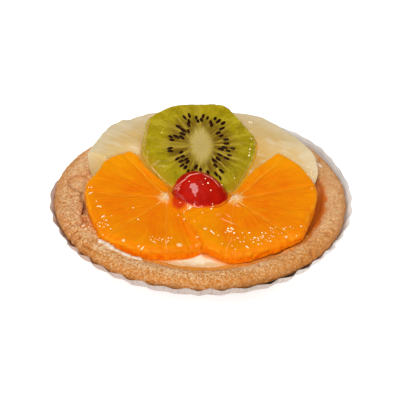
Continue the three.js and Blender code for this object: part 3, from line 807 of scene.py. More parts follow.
PINEAPPLE_BOTTOM, PINEAPPLE_INNER_RADIUS = 17.6, 20.0
# From one azimuth to the other, the ends' slant in degrees, the top's height, and the outer
# radius at azimuths.
PINEAPPLE = {
    "left": {
        "from": 92.5, "to": 160.0, "slant": 6.0, "top": 29.6,
        "radii": [(92.5, 47), (108, 47.9), (127, 48.2), (135, 49.4), (147, 47.4), (160, 46.2)]},
    "right": {
        "from": 88.0, "to": 10.0, "slant": -8.0, "top": 29.2,
        "radii": [(10, 44.8), (21, 46.3), (45, 46), (58, 47.6), (72, 45.8), (88, 46.2)]},
}
PINEAPPLE_FALL_SLOPE, PINEAPPLE_FALL_LEVEL = 0.06, 28.0
GENTLE_RAMP = 0.15
AMBER_X, AMBER_Y = 8.0, 8.0


def pineapple_edge(piece, azimuth):
    """The outer radius at azimuths in degrees."""
    return np.interp(azimuth, *np.transpose(piece["radii"]))


def pineapple_level(piece, azimuth, y):
    """Height of the top: waved round the ring, and falling to the front."""
    fall = PINEAPPLE_FALL_SLOPE * np.minimum(y - PINEAPPLE_FALL_LEVEL, 0.0)
    return piece["top"] + 0.3 * np.cos(np.radians(5.0 * azimuth)) + fall


def pineapple_section(azimuth, piece):
    """The section across a piece at azimuths in degrees: radius and height of ten corners."""
    out = pineapple_edge(piece, azimuth)
    low, inner = PINEAPPLE_BOTTOM, PINEAPPLE_INNER_RADIUS
    corners = [(inner, low), (out - 5.5, low), (out - 1.9, low + 3.4), (out - 0.3, low + 7.5)]
    for radius, rise in [(out, -1.6), (out - 0.9, -0.5), (out - 2.6, 0.0),
                         ((out + inner) / 2, 0.4), (inner + 1.5, 0.0), (inner, -1.2)]:
        y = radius * np.sin(np.radians(azimuth))
        corners.append((radius, pineapple_level(piece, azimuth, y) + rise))
    return np.array([np.stack(np.broadcast_arrays(*corner, azimuth)[:2], axis=-1)
                     for corner in corners])


def pineapple_rings(piece, stations=120, around=150):
    """Sections along the piece, each a smooth closed curve through its ten corners. The ends
    slant outwards below and are rounded, and fibres and dimples make the relief."""
    share = np.linspace(0.0, 1.0, stations)
    azimuth = piece["from"] + (piece["to"] - piece["from"]) * share
    corners = pineapple_section(azimuth, piece)
    closed = np.concatenate([corners[-1:], corners, corners[:2]])
    t = 1.0 + even_between(closed[1:-1], 0.0, len(corners), around)
    radius, height = smooth_through(closed, t).transpose(2, 1, 0)
    down = (piece["top"] - height) / (piece["top"] - PINEAPPLE_BOTTOM)
    angle = np.radians(azimuth[:, None] + piece["slant"] * down * share[:, None] ** 4)
    rings = spun(angle, radius, height)
    middle = rings.mean(axis=1, keepdims=True)
    end = np.minimum(share, 1.0 - share)[:, None, None] * (stations - 1)
    rings = middle + (rings - middle) * (1.0 - 0.06 * np.exp(-end / 1.3))
    if piece["to"] < piece["from"]:
        rings, angle, radius = rings[::-1], angle[::-1], radius[::-1]
    relief = (0.07 * lumps(spun(angle, 46.0, radius * 0.12), 1.5, 41)
              + swells(rings, 42, (0.22, 6.0), (0.08, 2.2))
              + 0.3 * lumps(rings, 2.6, 44) * smoothstep(radius, 43.0, 46.0))
    return press_under(rings + relief[..., None] * outward(rings), ramp=GENTLE_RAMP)


def pineapple_finish():
    """Pale straw flesh, whiter towards the outside, which also paints a rim highlight along the
    back edge, with fibres that run out from the core, milky streaks of painted glaze sheen, and
    amber where glaze pooled by the kiwi and at the lower left."""
    finish = Finish("glazed_pineapple")
    place = finish.place()
    x, y, z = finish.parts(place)
    reach = (x * x + y * y) ** 0.5
    fibre = finish.noise(
        finish.wrap(finish.bearing(x, y), 46.0, reach * 0.12 + z * 0.3), 1.8, 3.0, 0.6)
    cloud = finish.noise(place, 7.0, 2.0)
    painted_glaze_sheen = finish.noise(finish.join(x * 0.6 - y * 0.3, y * 1.6 + x * 0.5, z), 6.0, 3.0)
    from_kiwi = ((x - AMBER_X) ** 2.0 * 1.2 + (y - AMBER_Y) ** 2.0) ** 0.5
    colour = finish.lay(
        (218, 188, 130),
        (cloud.step(0.35, 0.65), (216, 180, 112)),
        # Paler towards the outer edge; along the back edge this paints a rim highlight.
        ((reach + cloud * 9.0).step(42.0, 50.0) * 0.8, (222, 204, 168)),
        (fibre.step(0.5, 0.74) * 0.35, (228, 216, 188)),
        (fibre.step(0.46, 0.3) * 0.22, (210, 176, 110)),
        ((from_kiwi + cloud * 7.0).step(29.0, 18.0) * 0.8, (208, 152, 50)),
        # Painted sheen: milky diagonal streaks where the glaze shines.
        (painted_glaze_sheen.step(0.5, 0.7) * 0.4, (230, 217, 192)),
        (x.step(-20.0, -28.0) * y.step(18.0, 12.0) * 0.6, (206, 172, 96)))
    normal = finish.bump(fibre * 0.7 + cloud * 0.3, 0.2)
    return finish.finished(colour, 0.6, normal, specular=0.1, coat=(0.5, 0.06, 1.36),
                           flesh=(0.25, (1.0, 0.8, 0.45), 0.003))


pineapple_flesh = pineapple_finish()
for side, piece in PINEAPPLE.items():
    rings = pineapple_rings(piece)
    make_piece(
        f"pineapple_{side}_flesh",
        closed_rings(rings, rings[0].mean(axis=0), rings[-1].mean(axis=0)),
        pineapple_flesh, [f"pineapple_{side}"])


# --- Orange slices ----------------------------------------------------------------------------
# Slices of orange, peeled with the knife and cut a little past the middle. Pale membranes part
# the segments, and each is packed with juice sacs that point to the pith. Glaze covers them.

LEFT_MEMBRANES = [125, 176, 226, 270, 308]
RIGHT_MEMBRANES = [48, 7, -50, -97]
ORANGE_COLUMNS, ORANGE_TOP_ROWS, BEND_ROWS = 440, 92, 14
ORANGE_EDGE_ROUND, ORANGE_FRONT_ROUND, ORANGE_UNDER_ROUND = 1.5, 1.7, 0.15
SAC_GIRTH = 26.0


def slice_rings(piece, columns, top_rows, edge_round, wider_front=0.0, under_round=0.5):
    """Rings of a slice: out over the top face, round its edge along a quarter circle, wider by
    wider_front at the front, down the side, and back in under it. The other arrays are each
    point's share of the way out on the top face, 1 elsewhere, its distance from the outline
    there, 0 elsewhere, and its share of the way down the side."""
    angle = piece.even_angles(columns)
    radius = piece.radius(angle)
    edge_round = edge_round + wider_front * smoothstep(-np.sin(angle), 0.1, 0.8)
    wall = piece.thickness - edge_round - under_round
    share = np.linspace(0.0, 1.0, top_rows + 1)[1:, None]
    bend = np.linspace(0.0, np.pi / 2.0, BEND_ROWS + 1)[1:, None]
    side = np.linspace(0.0, 1.0, 7)[1:, None]
    back = np.linspace(1.0, 0.0, 12)[1:-1, None]
    parts = [
        ((radius - edge_round) * share, 0.0),
        (radius - edge_round * (1.0 - np.sin(bend)), edge_round * (1.0 - np.cos(bend))),
        (radius, edge_round + wall * side),
        (radius - under_round * (1.0 - np.cos(bend)),
         piece.thickness - under_round * (1.0 - np.sin(bend))),
        ((radius - under_round) * back, piece.thickness),
    ]
    reach, drop = np.concatenate([np.stack(np.broadcast_arrays(*part)) for part in parts], axis=1)
    out, inside = np.ones_like(reach), radius - reach
    out[:top_rows] = share
    inside[top_rows + BEND_ROWS:] = 0.0
    x, y = piece.centre[0] + reach * np.cos(angle), piece.centre[1] + reach * np.sin(angle)
    rings = np.stack([x, y, piece.top(x, y) - drop], axis=-1)
    return rings, out, inside, drop / piece.thickness


def roughen_side(piece, rings, out, rough):
    """Moves a slice's side away from its centre by the height field rough, which fades out over
    the last tenth of the top face."""
    away = unit(rings[..., :2] - piece.centre)
    rings[..., :2] += away * (rough * smoothstep(out, 0.9, 1.0))[..., None]


def rest_on(rings, below, others, gap, most=np.inf):
    """Lifts the points chosen by below to a gap over the slices they lie on, up to a height."""
    x, y, z = np.moveaxis(rings, -1, 0)
    for other in others:
        lifted = np.minimum(np.maximum(z, other.top(x, y) + gap), most)
        z = np.where(below & (other.past(x, y) < 0.4), lifted, z)
    rings[..., 2] = z


def orange_relief(piece, rings, membranes, seed):
    """Juice sacs, lumps on a cylinder round the pith that are drawn out along the radius, under
    waves of glaze, with a woolly pith and a groove along each membrane."""
    dx, dy = rings[..., 0] - piece.centre[0], rings[..., 1] - piece.centre[1]
    reach, angle = np.hypot(dx, dy), np.arctan2(dy, dx)
    gap = np.minimum.reduce([
        np.where(np.cos(angle - turn) > 0.0, reach * np.abs(np.sin(angle - turn)), 99.0)
        for turn in np.radians(membranes)])
    groove = 0.22 * bell(gap, 1.1) * smoothstep(reach, 2.0, 6.0)
    sacs = lumps(spun(angle, SAC_GIRTH, reach * 0.28), 1.25, seed) * smoothstep(reach, 1.5, 5.0)
    glaze = swells(rings, seed + 1, (0.14, 4.2), (0.06, 1.7))
    pith = (0.35 + 0.5 * lumps(rings, 0.8, seed + 5)) * bell(reach, 2.2)
    return 0.1 * sacs + glaze + pith - groove


def orange_finish(name, pith, membranes, ripe_to_left):
    """Orange flesh: long juice sacs of slightly different depth of colour, fine pale membranes
    along the named directions and round the rim, and a pale woolly pith, all under a smooth
    clear coat. The cut side is grainy, and the flesh may be yellower left of the pith."""
    finish = Finish(name)
    place = finish.place((*pith, 0.0))
    wobble = finish.noise(place, 5.0, 1.0)
    x, y, z = finish.parts(place)
    x = x + (wobble - 0.5) * 1.4
    y = y + (finish.noise(place, 6.5, 1.0) - 0.5) * 1.4
    reach = (x * x + y * y) ** 0.5
    lines = 0.0
    for number, direction in enumerate(np.radians(membranes)):
        c, s = float(np.cos(direction)), float(np.sin(direction))
        off = finish.math("ABSOLUTE", x * s - y * c)
        ahead = (x * c + y * s).step(0.2, 1.0)
        line = off.step(0.36, 0.08) * ahead * (1.0 - 0.4 * (number % 2))
        lines = finish.math("MAXIMUM", line, lines)
    bearing = finish.bearing(x, y)
    spindle = finish.wrap(bearing, SAC_GIRTH, reach * 0.16 + z * 0.5)
    sac = finish.noise(spindle, 1.7, 2.0, 0.5)
    cells = finish.node("ShaderNodeTexVoronoi", {"feature": "F1"}, {
        "Vector": spindle, "Scale": 0.6}, "Distance")
    fibre = finish.noise(finish.wrap(bearing, SAC_GIRTH, reach * 0.1), 0.7, 2.0, 0.6)
    cloud = finish.noise(place, 7.0, 3.0)
    grain = finish.noise(place, 0.9, 2.0, 0.6)
    broken = finish.noise(place, 2.4, 2.0).step(0.35, 0.65)
    rim, down = finish.read("rim"), finish.read("down")
    # Painted shade along the front edge, where the slice rounds over.
    front_rim_shade = rim.step(3.4, 0.4) * y.step(-3.0, -14.0)
    border = rim.step(0.1, 0.5) * rim.step(1.3, 0.7) * broken
    woolly = (reach - lines * 2.4 + finish.noise(place, 0.9, 2.0) * 4.0).step(6.0, 3.6)
    colour = finish.lay(
        (236, 116, 0),
        (cloud.step(0.3, 0.7), (238, 134, 0)),
        (reach.step(17.0, 29.0) * 0.5, (241, 146, 0)),
        ((y + wobble * 8.0).step(10.0, 24.0) * 0.6, (246, 160, 0)),
        ((x + wobble * 4.0).step(0.0, -7.0) * ripe_to_left, (246, 152, 0)),
        (sac.step(0.5, 0.8) * 0.35, (247, 158, 2)),
        (fibre.step(0.52, 0.72) * 0.22, (249, 162, 8)),
        (fibre.step(0.46, 0.3) * 0.12, (228, 100, 0)),
        (cells.step(0.45, 0.8) * 0.14, (230, 104, 0)),
        # Painted shade: darker along the front edge.
        (front_rim_shade * 0.75, (228, 123, 0)),
        (down.step(0.25, 0.8), finish.mix(grain.step(0.4, 0.65), (242, 114, 0), (250, 142, 0))),
        (lines * (0.18 + 0.36 * broken), (250, 178, 50)),
        (border * 0.3, (250, 178, 30)),
        (woolly * 0.75, (244, 186, 110)),
        ((reach + grain * 4.0).step(4.2, 2.8) * 0.8, (250, 220, 176)))
    normal = finish.bump(sac * 0.5 + cells * 0.3 + lines * 0.25 + woolly * 0.4, 0.25)
    coat = 0.22 - finish.math("MAXIMUM", front_rim_shade, down.step(0.02, 0.2)) * 0.2
    return finish.finished(colour, 0.6, normal, specular=0.06, coat=(coat, 0.08, 1.4),
                           flesh=(0.3, (1.0, 0.45, 0.1), 0.003))


def orange_piece(name, piece, membranes, finish, seed, lies_on=()):
    """One slice. Its under face is pressed flat on whatever slice it lies on."""
    rings, out, inside, down = slice_rings(
        piece, ORANGE_COLUMNS, ORANGE_TOP_ROWS, ORANGE_EDGE_ROUND, ORANGE_FRONT_ROUND,
        ORANGE_UNDER_ROUND)
    relief = orange_relief(piece, rings, membranes, seed)
    rings[..., 2] += relief * smoothstep(down, 0.5, 0.2)
    roughen_side(piece, rings, out, swells(rings, seed + 3, (0.26, 1.3), (0.3, 3.4)))
    below = np.arange(len(rings))[:, None] >= ORANGE_TOP_ROWS + BEND_ROWS
    rest_on(rings, below, lies_on, 0.25)
    middle = np.append(piece.centre, piece.top(*piece.centre))
    shape = closed_rings(
        rings, middle + (0.0, 0.0, relief[0].mean()), middle - (0.0, 0.0, piece.thickness))
    flesh = make_piece(f"{name}_flesh", shape, finish, [name])
    mark(flesh, "rim", inside, (ORANGE_RADIUS, 0.0))
    mark(flesh, "down", down, (0.0, 1.0))


orange_piece("orange_left", left_orange, LEFT_MEMBRANES,
             orange_finish("orange_left_flesh", LEFT_PITH, LEFT_MEMBRANES, 0.0), 51)
orange_piece("orange_right", right_orange, RIGHT_MEMBRANES,
             orange_finish("orange_right_flesh", RIGHT_PITH, RIGHT_MEMBRANES, 0.6), 61,
             [left_orange])


# --- Kiwi slice -------------------------------------------------------------------------------
# A thick round of peeled kiwi, trimmed by the knife into flats. A pale core, a ring of dark
# seeds in wet flesh, and pale rays that run out to the edge. It leans on the pineapple.

KIWI_COLUMNS, KIWI_TOP_ROWS, KIWI_EDGE_ROUND = 400, 80, 0.9
KIWI_CORE_CENTRE, KIWI_CORE, KIWI_CORE_RISE = (0.2, 1.8), (4.5, 8.6), 0.18
KIWI_GIRTH = 15.0
SEED_HALF_THICKNESS = 0.35
# Seeds, from the middle of the face: to the right, and up the slope.
KIWI_SEEDS = np.array([
    (-6.2, 13.8), (-4.3, 14.9), (-4.5, 12.3), (-4.6, 10.6), (-1.6, 14.4), (-1.0, 12.9),
    (0.4, 13.7), (1.1, 15.6), (2.8, 15.0), (4.0, 13.1), (4.4, 11.9), (5.8, 15.0), (7.1, 13.9),
    (8.9, 13.3), (-8.5, 9.0), (0.8, -12.2), (-6.6, 7.6), (-4.6, 7.6), (-6.9, 5.9), (8.4, 10.6),
    (6.9, 8.2), (8.1, 7.2), (9.9, 5.8), (-11.5, 4.0), (-9.3, 4.3), (-11.0, 2.5), (-7.2, 4.3),
    (10.1, 3.9), (9.3, 2.1), (8.0, 1.0), (10.7, 0.7), (12.6, 2.1), (-11.7, -1.4), (-11.5, -2.7),
    (-7.4, -2.6), (7.4, -1.6), (9.9, -2.9), (6.8, -3.6), (11.2, -1.3), (5.4, -4.8), (-6.9, -4.5),
    (-8.8, -5.8), (-7.4, -6.7), (-4.9, -6.7), (-5.5, -5.5), (5.8, -6.9), (-7.0, -8.6),
    (-5.7, -9.4), (-1.7, -8.6), (0.1, -9.5), (8.1, -9.1), (6.0, -10.7), (-4.7, -11.1),
    (-3.0, -11.1), (2.9, -10.5), (7.5, -12.1),
])


def ellipsoid_faces(rows, columns):
    """A unit ball as a small closed mesh: rings of columns between two poles."""
    level = np.linspace(0.0, np.pi, rows + 2)[1:-1, None]
    rings = spun(turns(columns), np.sin(level), np.cos(level))
    return closed_rings(rings, (0.0, 0.0, 1.0), (0.0, 0.0, -1.0))


def scatter(shape, centres, axes):
    """Copies of a unit shape: at each centre its points are carried along that copy's own three
    axes, which hold its sizes too. axes is (copies, 3, 3), an axis a row."""
    points, faces = shape
    placed = np.einsum("pk,nkj->npj", points, axes) + centres[:, None, :]
    shift = np.arange(len(centres))[:, None, None] * len(points)
    return placed.reshape(-1, 3), [(group + shift).reshape(-1, group.shape[1]) for group in faces]


def on_kiwi(a, b):
    """The point of the kiwi's face that lies a to the right and b up its slope."""
    x, y = KIWI_CENTRE[0] + a * kiwi_lean[0], KIWI_CENTRE[1] + b * kiwi_lean[1]
    return np.stack([x, y, kiwi_top(x, y)], axis=-1)


def kiwi_relief(rings):
    """Fine rays round the core, a slightly raised core and waves of glaze."""
    a = (rings[..., 0] - KIWI_CENTRE[0]) / kiwi_lean[0] - KIWI_CORE_CENTRE[0]
    b = (rings[..., 1] - KIWI_CENTRE[1]) / kiwi_lean[1] - KIWI_CORE_CENTRE[1]
    reach, angle = np.hypot(a, b), np.arctan2(b, a)
    ray = lumps(spun(angle, KIWI_GIRTH, reach * 0.1), 1.1, 71)
    core = np.exp(-((a / KIWI_CORE[0]) ** 2 + (b / KIWI_CORE[1]) ** 2) ** 2)
    waves = swells(rings, 72, (0.12, 4.0), (0.05, 1.6))
    return 0.09 * ray * smoothstep(reach, 4.0, 8.0) + KIWI_CORE_RISE * core + waves


def kiwi_finish():
    """Olive green flesh in soft radial lumps and grains, with pale rays from a cream-coloured
    core, and a darker wet ring where the seeds sit. The rim is paler, and amber syrup tints the
    lower corners. The side is painted pale amber: partly glaze over it, partly painted light that
    lifts its shade."""
    finish = Finish("glazed_kiwi")
    place = finish.place((*KIWI_CENTRE[:2], 0.0))
    x, y, _ = finish.parts(place)
    sway = (finish.noise(place, 3.5, 2.0) - 0.5) * 1.2
    a = x / float(kiwi_lean[0]) - KIWI_CORE_CENTRE[0] + sway
    b = y / float(kiwi_lean[1]) - KIWI_CORE_CENTRE[1] + sway
    reach = (a * a + b * b) ** 0.5
    bearing = finish.bearing(a, b)
    ray = finish.noise(finish.wrap(bearing, KIWI_GIRTH, reach * 0.06), 1.5, 3.0, 0.6)
    thin = finish.noise(finish.wrap(bearing, KIWI_GIRTH, reach * 0.12), 0.7, 2.0, 0.6)
    lump = finish.noise(finish.wrap(bearing, KIWI_GIRTH, reach * 0.5), 2.4, 2.0)
    cloud = finish.noise(place, 6.0, 2.0)
    grain = finish.noise(place, 0.9, 2.0, 0.6)
    across, along = [((way / half) ** 2.0) ** 0.75 for way, half in zip((a, b), KIWI_CORE)]
    share = (across + along) ** (1.0 / 1.5)
    past_core = share.step(0.8, 1.2)
    ring = past_core * reach.step(16.0, 10.5)
    rays = ray.step(0.5, 0.62) * past_core * reach.step(21.0, 12.0)
    lower_right = (x * 0.5 - y * 0.9).step(-6.0, 12.0)
    amber = finish.math(
        "MAXIMUM", (x * 0.75 - y * 0.65 + cloud * 5.0).step(16.5, 24.0),
        (cloud * 5.0 - x * 0.75 - y * 0.65).step(17.0, 24.0))
    paler_rim = finish.read("rim").step(1.1, 0.3) * grain.step(0.35, 0.55)
    colour = finish.lay(
        (168, 147, 2),
        (cloud.step(0.3, 0.7), (155, 135, 0)),
        (x.step(4.0, 18.0) * 0.4, (140, 122, 0)),
        (lump.step(0.5, 0.7) * 0.7, (188, 168, 34)),
        (lump.step(0.46, 0.32) * 0.6, (130, 114, 0)),
        (grain.step(0.54, 0.7) * 0.4, (196, 176, 50)),
        (grain.step(0.46, 0.3) * 0.35, (120, 106, 0)),
        (paler_rim * 0.6, (212, 192, 110)),
        (ring * 0.8, (118, 88, 14)),
        (thin.step(0.52, 0.7) * (0.2 + 0.35 * ring), (170, 146, 62)),
        (rays * (0.55 + 0.4 * lower_right), (186, 160, 54)),
        (ray.step(0.5, 0.38) * ring * 0.5, (86, 60, 6)),
        ((share + (ray - 0.5) * 1.1).step(1.25, 0.6), (190, 166, 96)),
        (amber * 0.65, (178, 128, 6)),
        # Painted pale amber on the side: partly glaze, partly painted light that lifts the side's
        # shade.
        (finish.read("down").step(0.12, 0.3), (206, 166, 60)))
    normal = finish.bump(ray * 0.4 + thin * 0.3 + lump * 0.3, 0.25)
    return finish.finished(colour, 0.55, normal, specular=0.1, coat=(0.18, 0.05, 1.36),
                           flesh=(0.2, (0.8, 1.0, 0.2), 0.002))


def seed_finish():
    """Brown-black seed coat with a dull shine, a little lighter in patches."""
    finish = Finish("kiwi_seed_coat")
    spots = finish.noise(finish.place(), 1.0, 2.0)
    colour = finish.mix(spots.step(0.45, 0.8), (36, 8, 4), (70, 30, 10))
    return finish.finished(colour, 0.5, specular=0.08, coat=(0.08, 0.1))


kiwi_rings, kiwi_out, kiwi_inside, kiwi_down = slice_rings(
    kiwi, KIWI_COLUMNS, KIWI_TOP_ROWS, KIWI_EDGE_ROUND)
kiwi_rings[..., 2] += kiwi_relief(kiwi_rings) * smoothstep(kiwi_down, 0.3, 0.1)
roughen_side(kiwi, kiwi_rings, kiwi_out, swells(kiwi_rings, 74, (0.2, 1.2), (0.22, 4.0)))
rest_on(kiwi_rings, kiwi_down > 0.2, [left_orange, right_orange], 0.1,
        kiwi_top(kiwi_rings[..., 0], kiwi_rings[..., 1]) - 0.6)
kiwi_middle = on_kiwi(0.0, 0.0)
kiwi_piece = make_piece(
    "kiwi_flesh", closed_rings(
        kiwi_rings, kiwi_middle + (0.0, 0.0, KIWI_CORE_RISE),
        kiwi_middle - (0.0, 0.0, kiwi.thickness)),
    kiwi_finish(), ["kiwi"])
mark(kiwi_piece, "rim", kiwi_inside, (KIWI_CUTS[0][1], 0.0))
mark(kiwi_piece, "down", kiwi_down, (0.0, 1.0))

draw = np.random.default_rng(77)
seed_count = len(KIWI_SEEDS)
seed_a, seed_b = KIWI_SEEDS.T
seed_turn = np.arctan2(seed_b - KIWI_CORE_CENTRE[1], seed_a - KIWI_CORE_CENTRE[0])
seed_turn = seed_turn + draw.uniform(-0.3, 0.3, seed_count)
seed_centres = on_kiwi(seed_a, seed_b)
seed_centres[:, 2] += kiwi_relief(seed_centres) + draw.uniform(-0.12, 0.08, seed_count)
seed_out = unit(on_kiwi(np.cos(seed_turn), np.sin(seed_turn)) - kiwi_middle)
face_up = unit(np.cross(on_kiwi(1.0, 0.0) - kiwi_middle, on_kiwi(0.0, 1.0) - kiwi_middle))
face_up = np.broadcast_to(face_up, seed_out.shape)
seed_axes = np.stack([
    seed_out * draw.uniform(1.0, 1.5, (seed_count, 1)),
    np.cross(face_up, seed_out) * draw.uniform(0.52, 0.72, (seed_count, 1)),
    face_up * SEED_HALF_THICKNESS], axis=1)
seeds = scatter(ellipsoid_faces(5, 10), seed_centres, seed_axes)
make_piece("kiwi_seeds", seeds, seed_finish())


# --- Cherry -----------------------------------------------------------------------------------
# Half a candied cherry, dyed red and dipped in glaze, pressed on its cut face into the middle,
# over the tips of all three slices.

CHERRY_CENTRE = (-0.2, -7.9, 22.6)
CHERRY_HALF_WIDTH, CHERRY_BACK, CHERRY_FRONT = 11.0, 9.9, 8.5
CHERRY_HEIGHT, CHERRY_LEAN = 11.8, 1.4
CHERRY_ROWS, CHERRY_COLUMNS = 76, 220
CHERRY_RIGHT_POWER, CHERRY_RIGHT_ROOT = 1.4, 0.7


def cherry_rings():
    """A dome: a half ellipsoid on the left that leans left and changes to a straighter slope on
    the right, with shallow wrinkles."""
    level = np.cos(np.linspace(0.02, 0.5, CHERRY_ROWS) * np.pi)[:, None]
    angle = turns(CHERRY_COLUMNS)
    right = 0.5 + 0.5 * np.cos(angle)
    straight = (1.0 - level ** CHERRY_RIGHT_POWER) ** CHERRY_RIGHT_ROOT
    width = np.sqrt(1.0 - level ** 2) * (1.0 - right) + straight * right
    x = CHERRY_HALF_WIDTH * width * np.cos(angle) - CHERRY_LEAN * level * (1.0 - right)
    y = np.where(np.sin(angle) > 0.0, CHERRY_BACK, CHERRY_FRONT) * width * np.sin(angle)
    rings = np.stack(np.broadcast_arrays(x, y, CHERRY_HEIGHT * level), axis=-1) + CHERRY_CENTRE
    relief = swells(rings, 81, (0.3, 5.5), (0.15, 2.4), (0.06, 1.1))
    return rings + relief[..., None] * outward(rings)


def cherry_finish():
    """Clear deep red, cloudy with darker red, under a glassy coat of syrup."""
    finish = Finish("candied_cherry")
    cloud = finish.noise(finish.place(), 4.0, 2.0)
    colour = finish.mix(cloud.step(0.3, 0.7), (186, 22, 2), (168, 12, 2))
    return finish.finished(
        colour, 0.5, finish.bump(cloud, 0.2), specular=0.08, coat=(0.85, 0.03, 1.42),
        flesh=(0.25, (1.0, 0.12, 0.06), 0.003))


cherry_surface = cherry_rings()
make_piece(
    "candied_cherry", closed_rings(cherry_surface, cherry_surface[0].mean(axis=0), CHERRY_CENTRE),
    cherry_finish(), ["cherry"])


# --- Syrup glaze ------------------------------------------------------------------------------
# Clear apricot syrup, brushed on warm. It set as a skin over the fruit and pooled amber in every
# hollow between the pieces. White beads on it paint its glints, and flat peach domes paint window
# reflections in it.

GLAZE_STEP, GLAZE_SPAN = 0.33, 43.0
GLAZE_BALL_FRONT, GLAZE_BALL = 4.2, 2.0
GLAZE_LEAST, GLAZE_THICKNESS = 0.12, 0.3
CREAM_REACH = 42.0
GLAZE_FULL_RADIUS, GLAZE_END_RADIUS, GLAZE_MIDDLE_Y = 27.0, 33.0, 2.0
LOBE_POOL, CHERRY_POOL = (-2.0, -30.0), (-9.5, -14.0)
RED_LEFT, RED_FRONT = 7.4, 12.6


def cherry_top(x, y):
    """Height of the cherry's plain surface, by running its formula backwards three times over,
    since its lean needs the level that is sought."""
    x, y = x - CHERRY_CENTRE[0], y - CHERRY_CENTRE[1]
    right = 0.5 + 0.5 * np.cos(np.arctan2(y, x))
    level = 0.3
    for _ in range(3):
        along = (x + CHERRY_LEAN * level * (1.0 - right)) / CHERRY_HALF_WIDTH
        depth = y / np.where(y > 0.0, CHERRY_BACK, CHERRY_FRONT)
        width = np.clip(np.hypot(along, depth), 0.0, 1.0)
        straight = (1.0 - width ** (1.0 / CHERRY_RIGHT_ROOT)) ** (1.0 / CHERRY_RIGHT_POWER)
        level = np.sqrt(1.0 - width ** 2) * (1.0 - right) + straight * right
    return np.where(width < 1.0, CHERRY_CENTRE[2] + CHERRY_HEIGHT * level, 0.0)


def slice_top(piece, x, y, edge_round):
    """Height of a slice's upper face with its rounded edge, and 0 outside it."""
    inside = -piece.past(x, y)
    near = np.clip(1.0 - inside / edge_round, 0.0, 1.0)
    drop = edge_round * (1.0 - np.sqrt(1.0 - near ** 2))
    return np.where(inside > 0.0, piece.top(x, y) - drop, 0.0)


def pineapple_top(piece, x, y):
    """Height of a pineapple piece: its section's upper corners joined by straight lines."""
    azimuth = np.degrees(np.arctan2(y, x))
    out = pineapple_edge(piece, azimuth)
    share = (np.hypot(x, y) - PINEAPPLE_INNER_RADIUS) / (out - PINEAPPLE_INNER_RADIUS)
    rise = np.interp(share, [0.0, 0.06, 0.5, 0.9, 0.965, 1.0], [-1.2, 0.0, 0.4, 0.0, -0.5, -1.6])
    low, high = sorted((piece["from"], piece["to"]))
    inside = (share > 0.0) & (share < 1.0) & (azimuth > low) & (azimuth < high)
    return np.where(inside, pineapple_level(piece, azimuth, y) + rise, 0.0)


def ball_rolled(height, ball):
    """The lowest surface that a ball rolled over a height field can touch: each point takes the
    highest cap of a ball resting on it, and then the lowest of those caps over its own."""
    reach = int(ball / GLAZE_STEP)
    offsets = [(i, j) for i in range(-reach, reach + 1) for j in range(-reach, reach + 1)
               if np.hypot(i, j) * GLAZE_STEP < ball]
    caps = [np.sqrt(ball ** 2 - (np.hypot(i, j) * GLAZE_STEP) ** 2) for i, j in offsets]
    raised, rolled = height, height + 2.0 * ball
    for shift, cap in zip(offsets, caps):
        raised = np.maximum(raised, np.roll(height, shift, (0, 1)) + cap)
    for shift, cap in zip(offsets, caps):
        rolled = np.minimum(rolled, np.roll(raised, shift, (0, 1)) - cap)
    return rolled


def nine_round(field):
    """A grid's values at each place and at the eight round it, as nine grids."""
    return [np.roll(field, (i, j), (0, 1)) for i in (-1, 0, 1) for j in (-1, 0, 1)]


def cell_shell(x, y, top, bottom, cells):
    """A closed shell over the chosen cells of a grid: upper faces, lower ones turned over, and
    walls where a chosen cell has no neighbour. Unused points are dropped."""
    count = x.size
    number = np.arange(count).reshape(x.shape)
    corners = np.stack(
        [number[:-1, :-1], number[1:, :-1], number[1:, 1:], number[:-1, 1:]], axis=-1)
    faces = [corners[cells], corners[cells][:, ::-1] + count]
    padded = np.pad(cells, 1)
    neighbours = padded[1:-1, :-2], padded[2:, 1:-1], padded[1:-1, 2:], padded[:-2, 1:-1]
    for side, beside in enumerate(neighbours):
        open_side = corners[cells & ~beside]
        a, b = open_side[:, side], open_side[:, (side + 1) % 4]
        faces.append(np.stack([b, a, a + count, b + count], axis=-1))
    points = np.stack([np.append(x, x), np.append(y, y), np.append(top, bottom)], axis=-1)
    used, faces = np.unique(np.concatenate(faces), return_inverse=True)
    return points[used], faces.reshape(-1, 4), used


def glaze_finish():
    """Clear syrup, denser where deep: orange over orange, amber over kiwi and pineapple, and red
    where the cherry shows under it and beside it."""
    finish = Finish("syrup_glaze")
    place = finish.place()
    x, y, _ = finish.parts(place)
    cloud = finish.noise(place, 3.0, 2.0)
    back = (y + cloud * 5.0).step(-1.0, 6.0)
    right = back * x.step(6.0, 13.0)
    under_cherry = (((x - CHERRY_CENTRE[0]) / CHERRY_HALF_WIDTH) ** 2.0
                    + ((y - CHERRY_CENTRE[1]) / CHERRY_BACK) ** 2.0)
    beside_cherry = ((x + RED_LEFT) ** 2.0 + (y + RED_FRONT) ** 2.0) ** 0.5
    colour = finish.lay(
        (240, 130, 0),
        (back, (212, 160, 48)),
        (cloud.step(0.5, 0.7) * 0.3, (238, 146, 8)),
        (under_cherry.step(0.85, 0.62), (210, 44, 6)),
        (beside_cherry.step(4.4, 2.4) * 0.9, (202, 36, 4)),
        (right * 0.8, (218, 156, 6)))
    dense = finish.read("depth").step(0.0, 1.0 + 0.8 * back)
    return finish.finished(
        colour, 0.5, specular=0.1, alpha=dense * (0.95 - 0.25 * back + 0.2 * right),
        coat=(0.8, 0.03, 1.4))


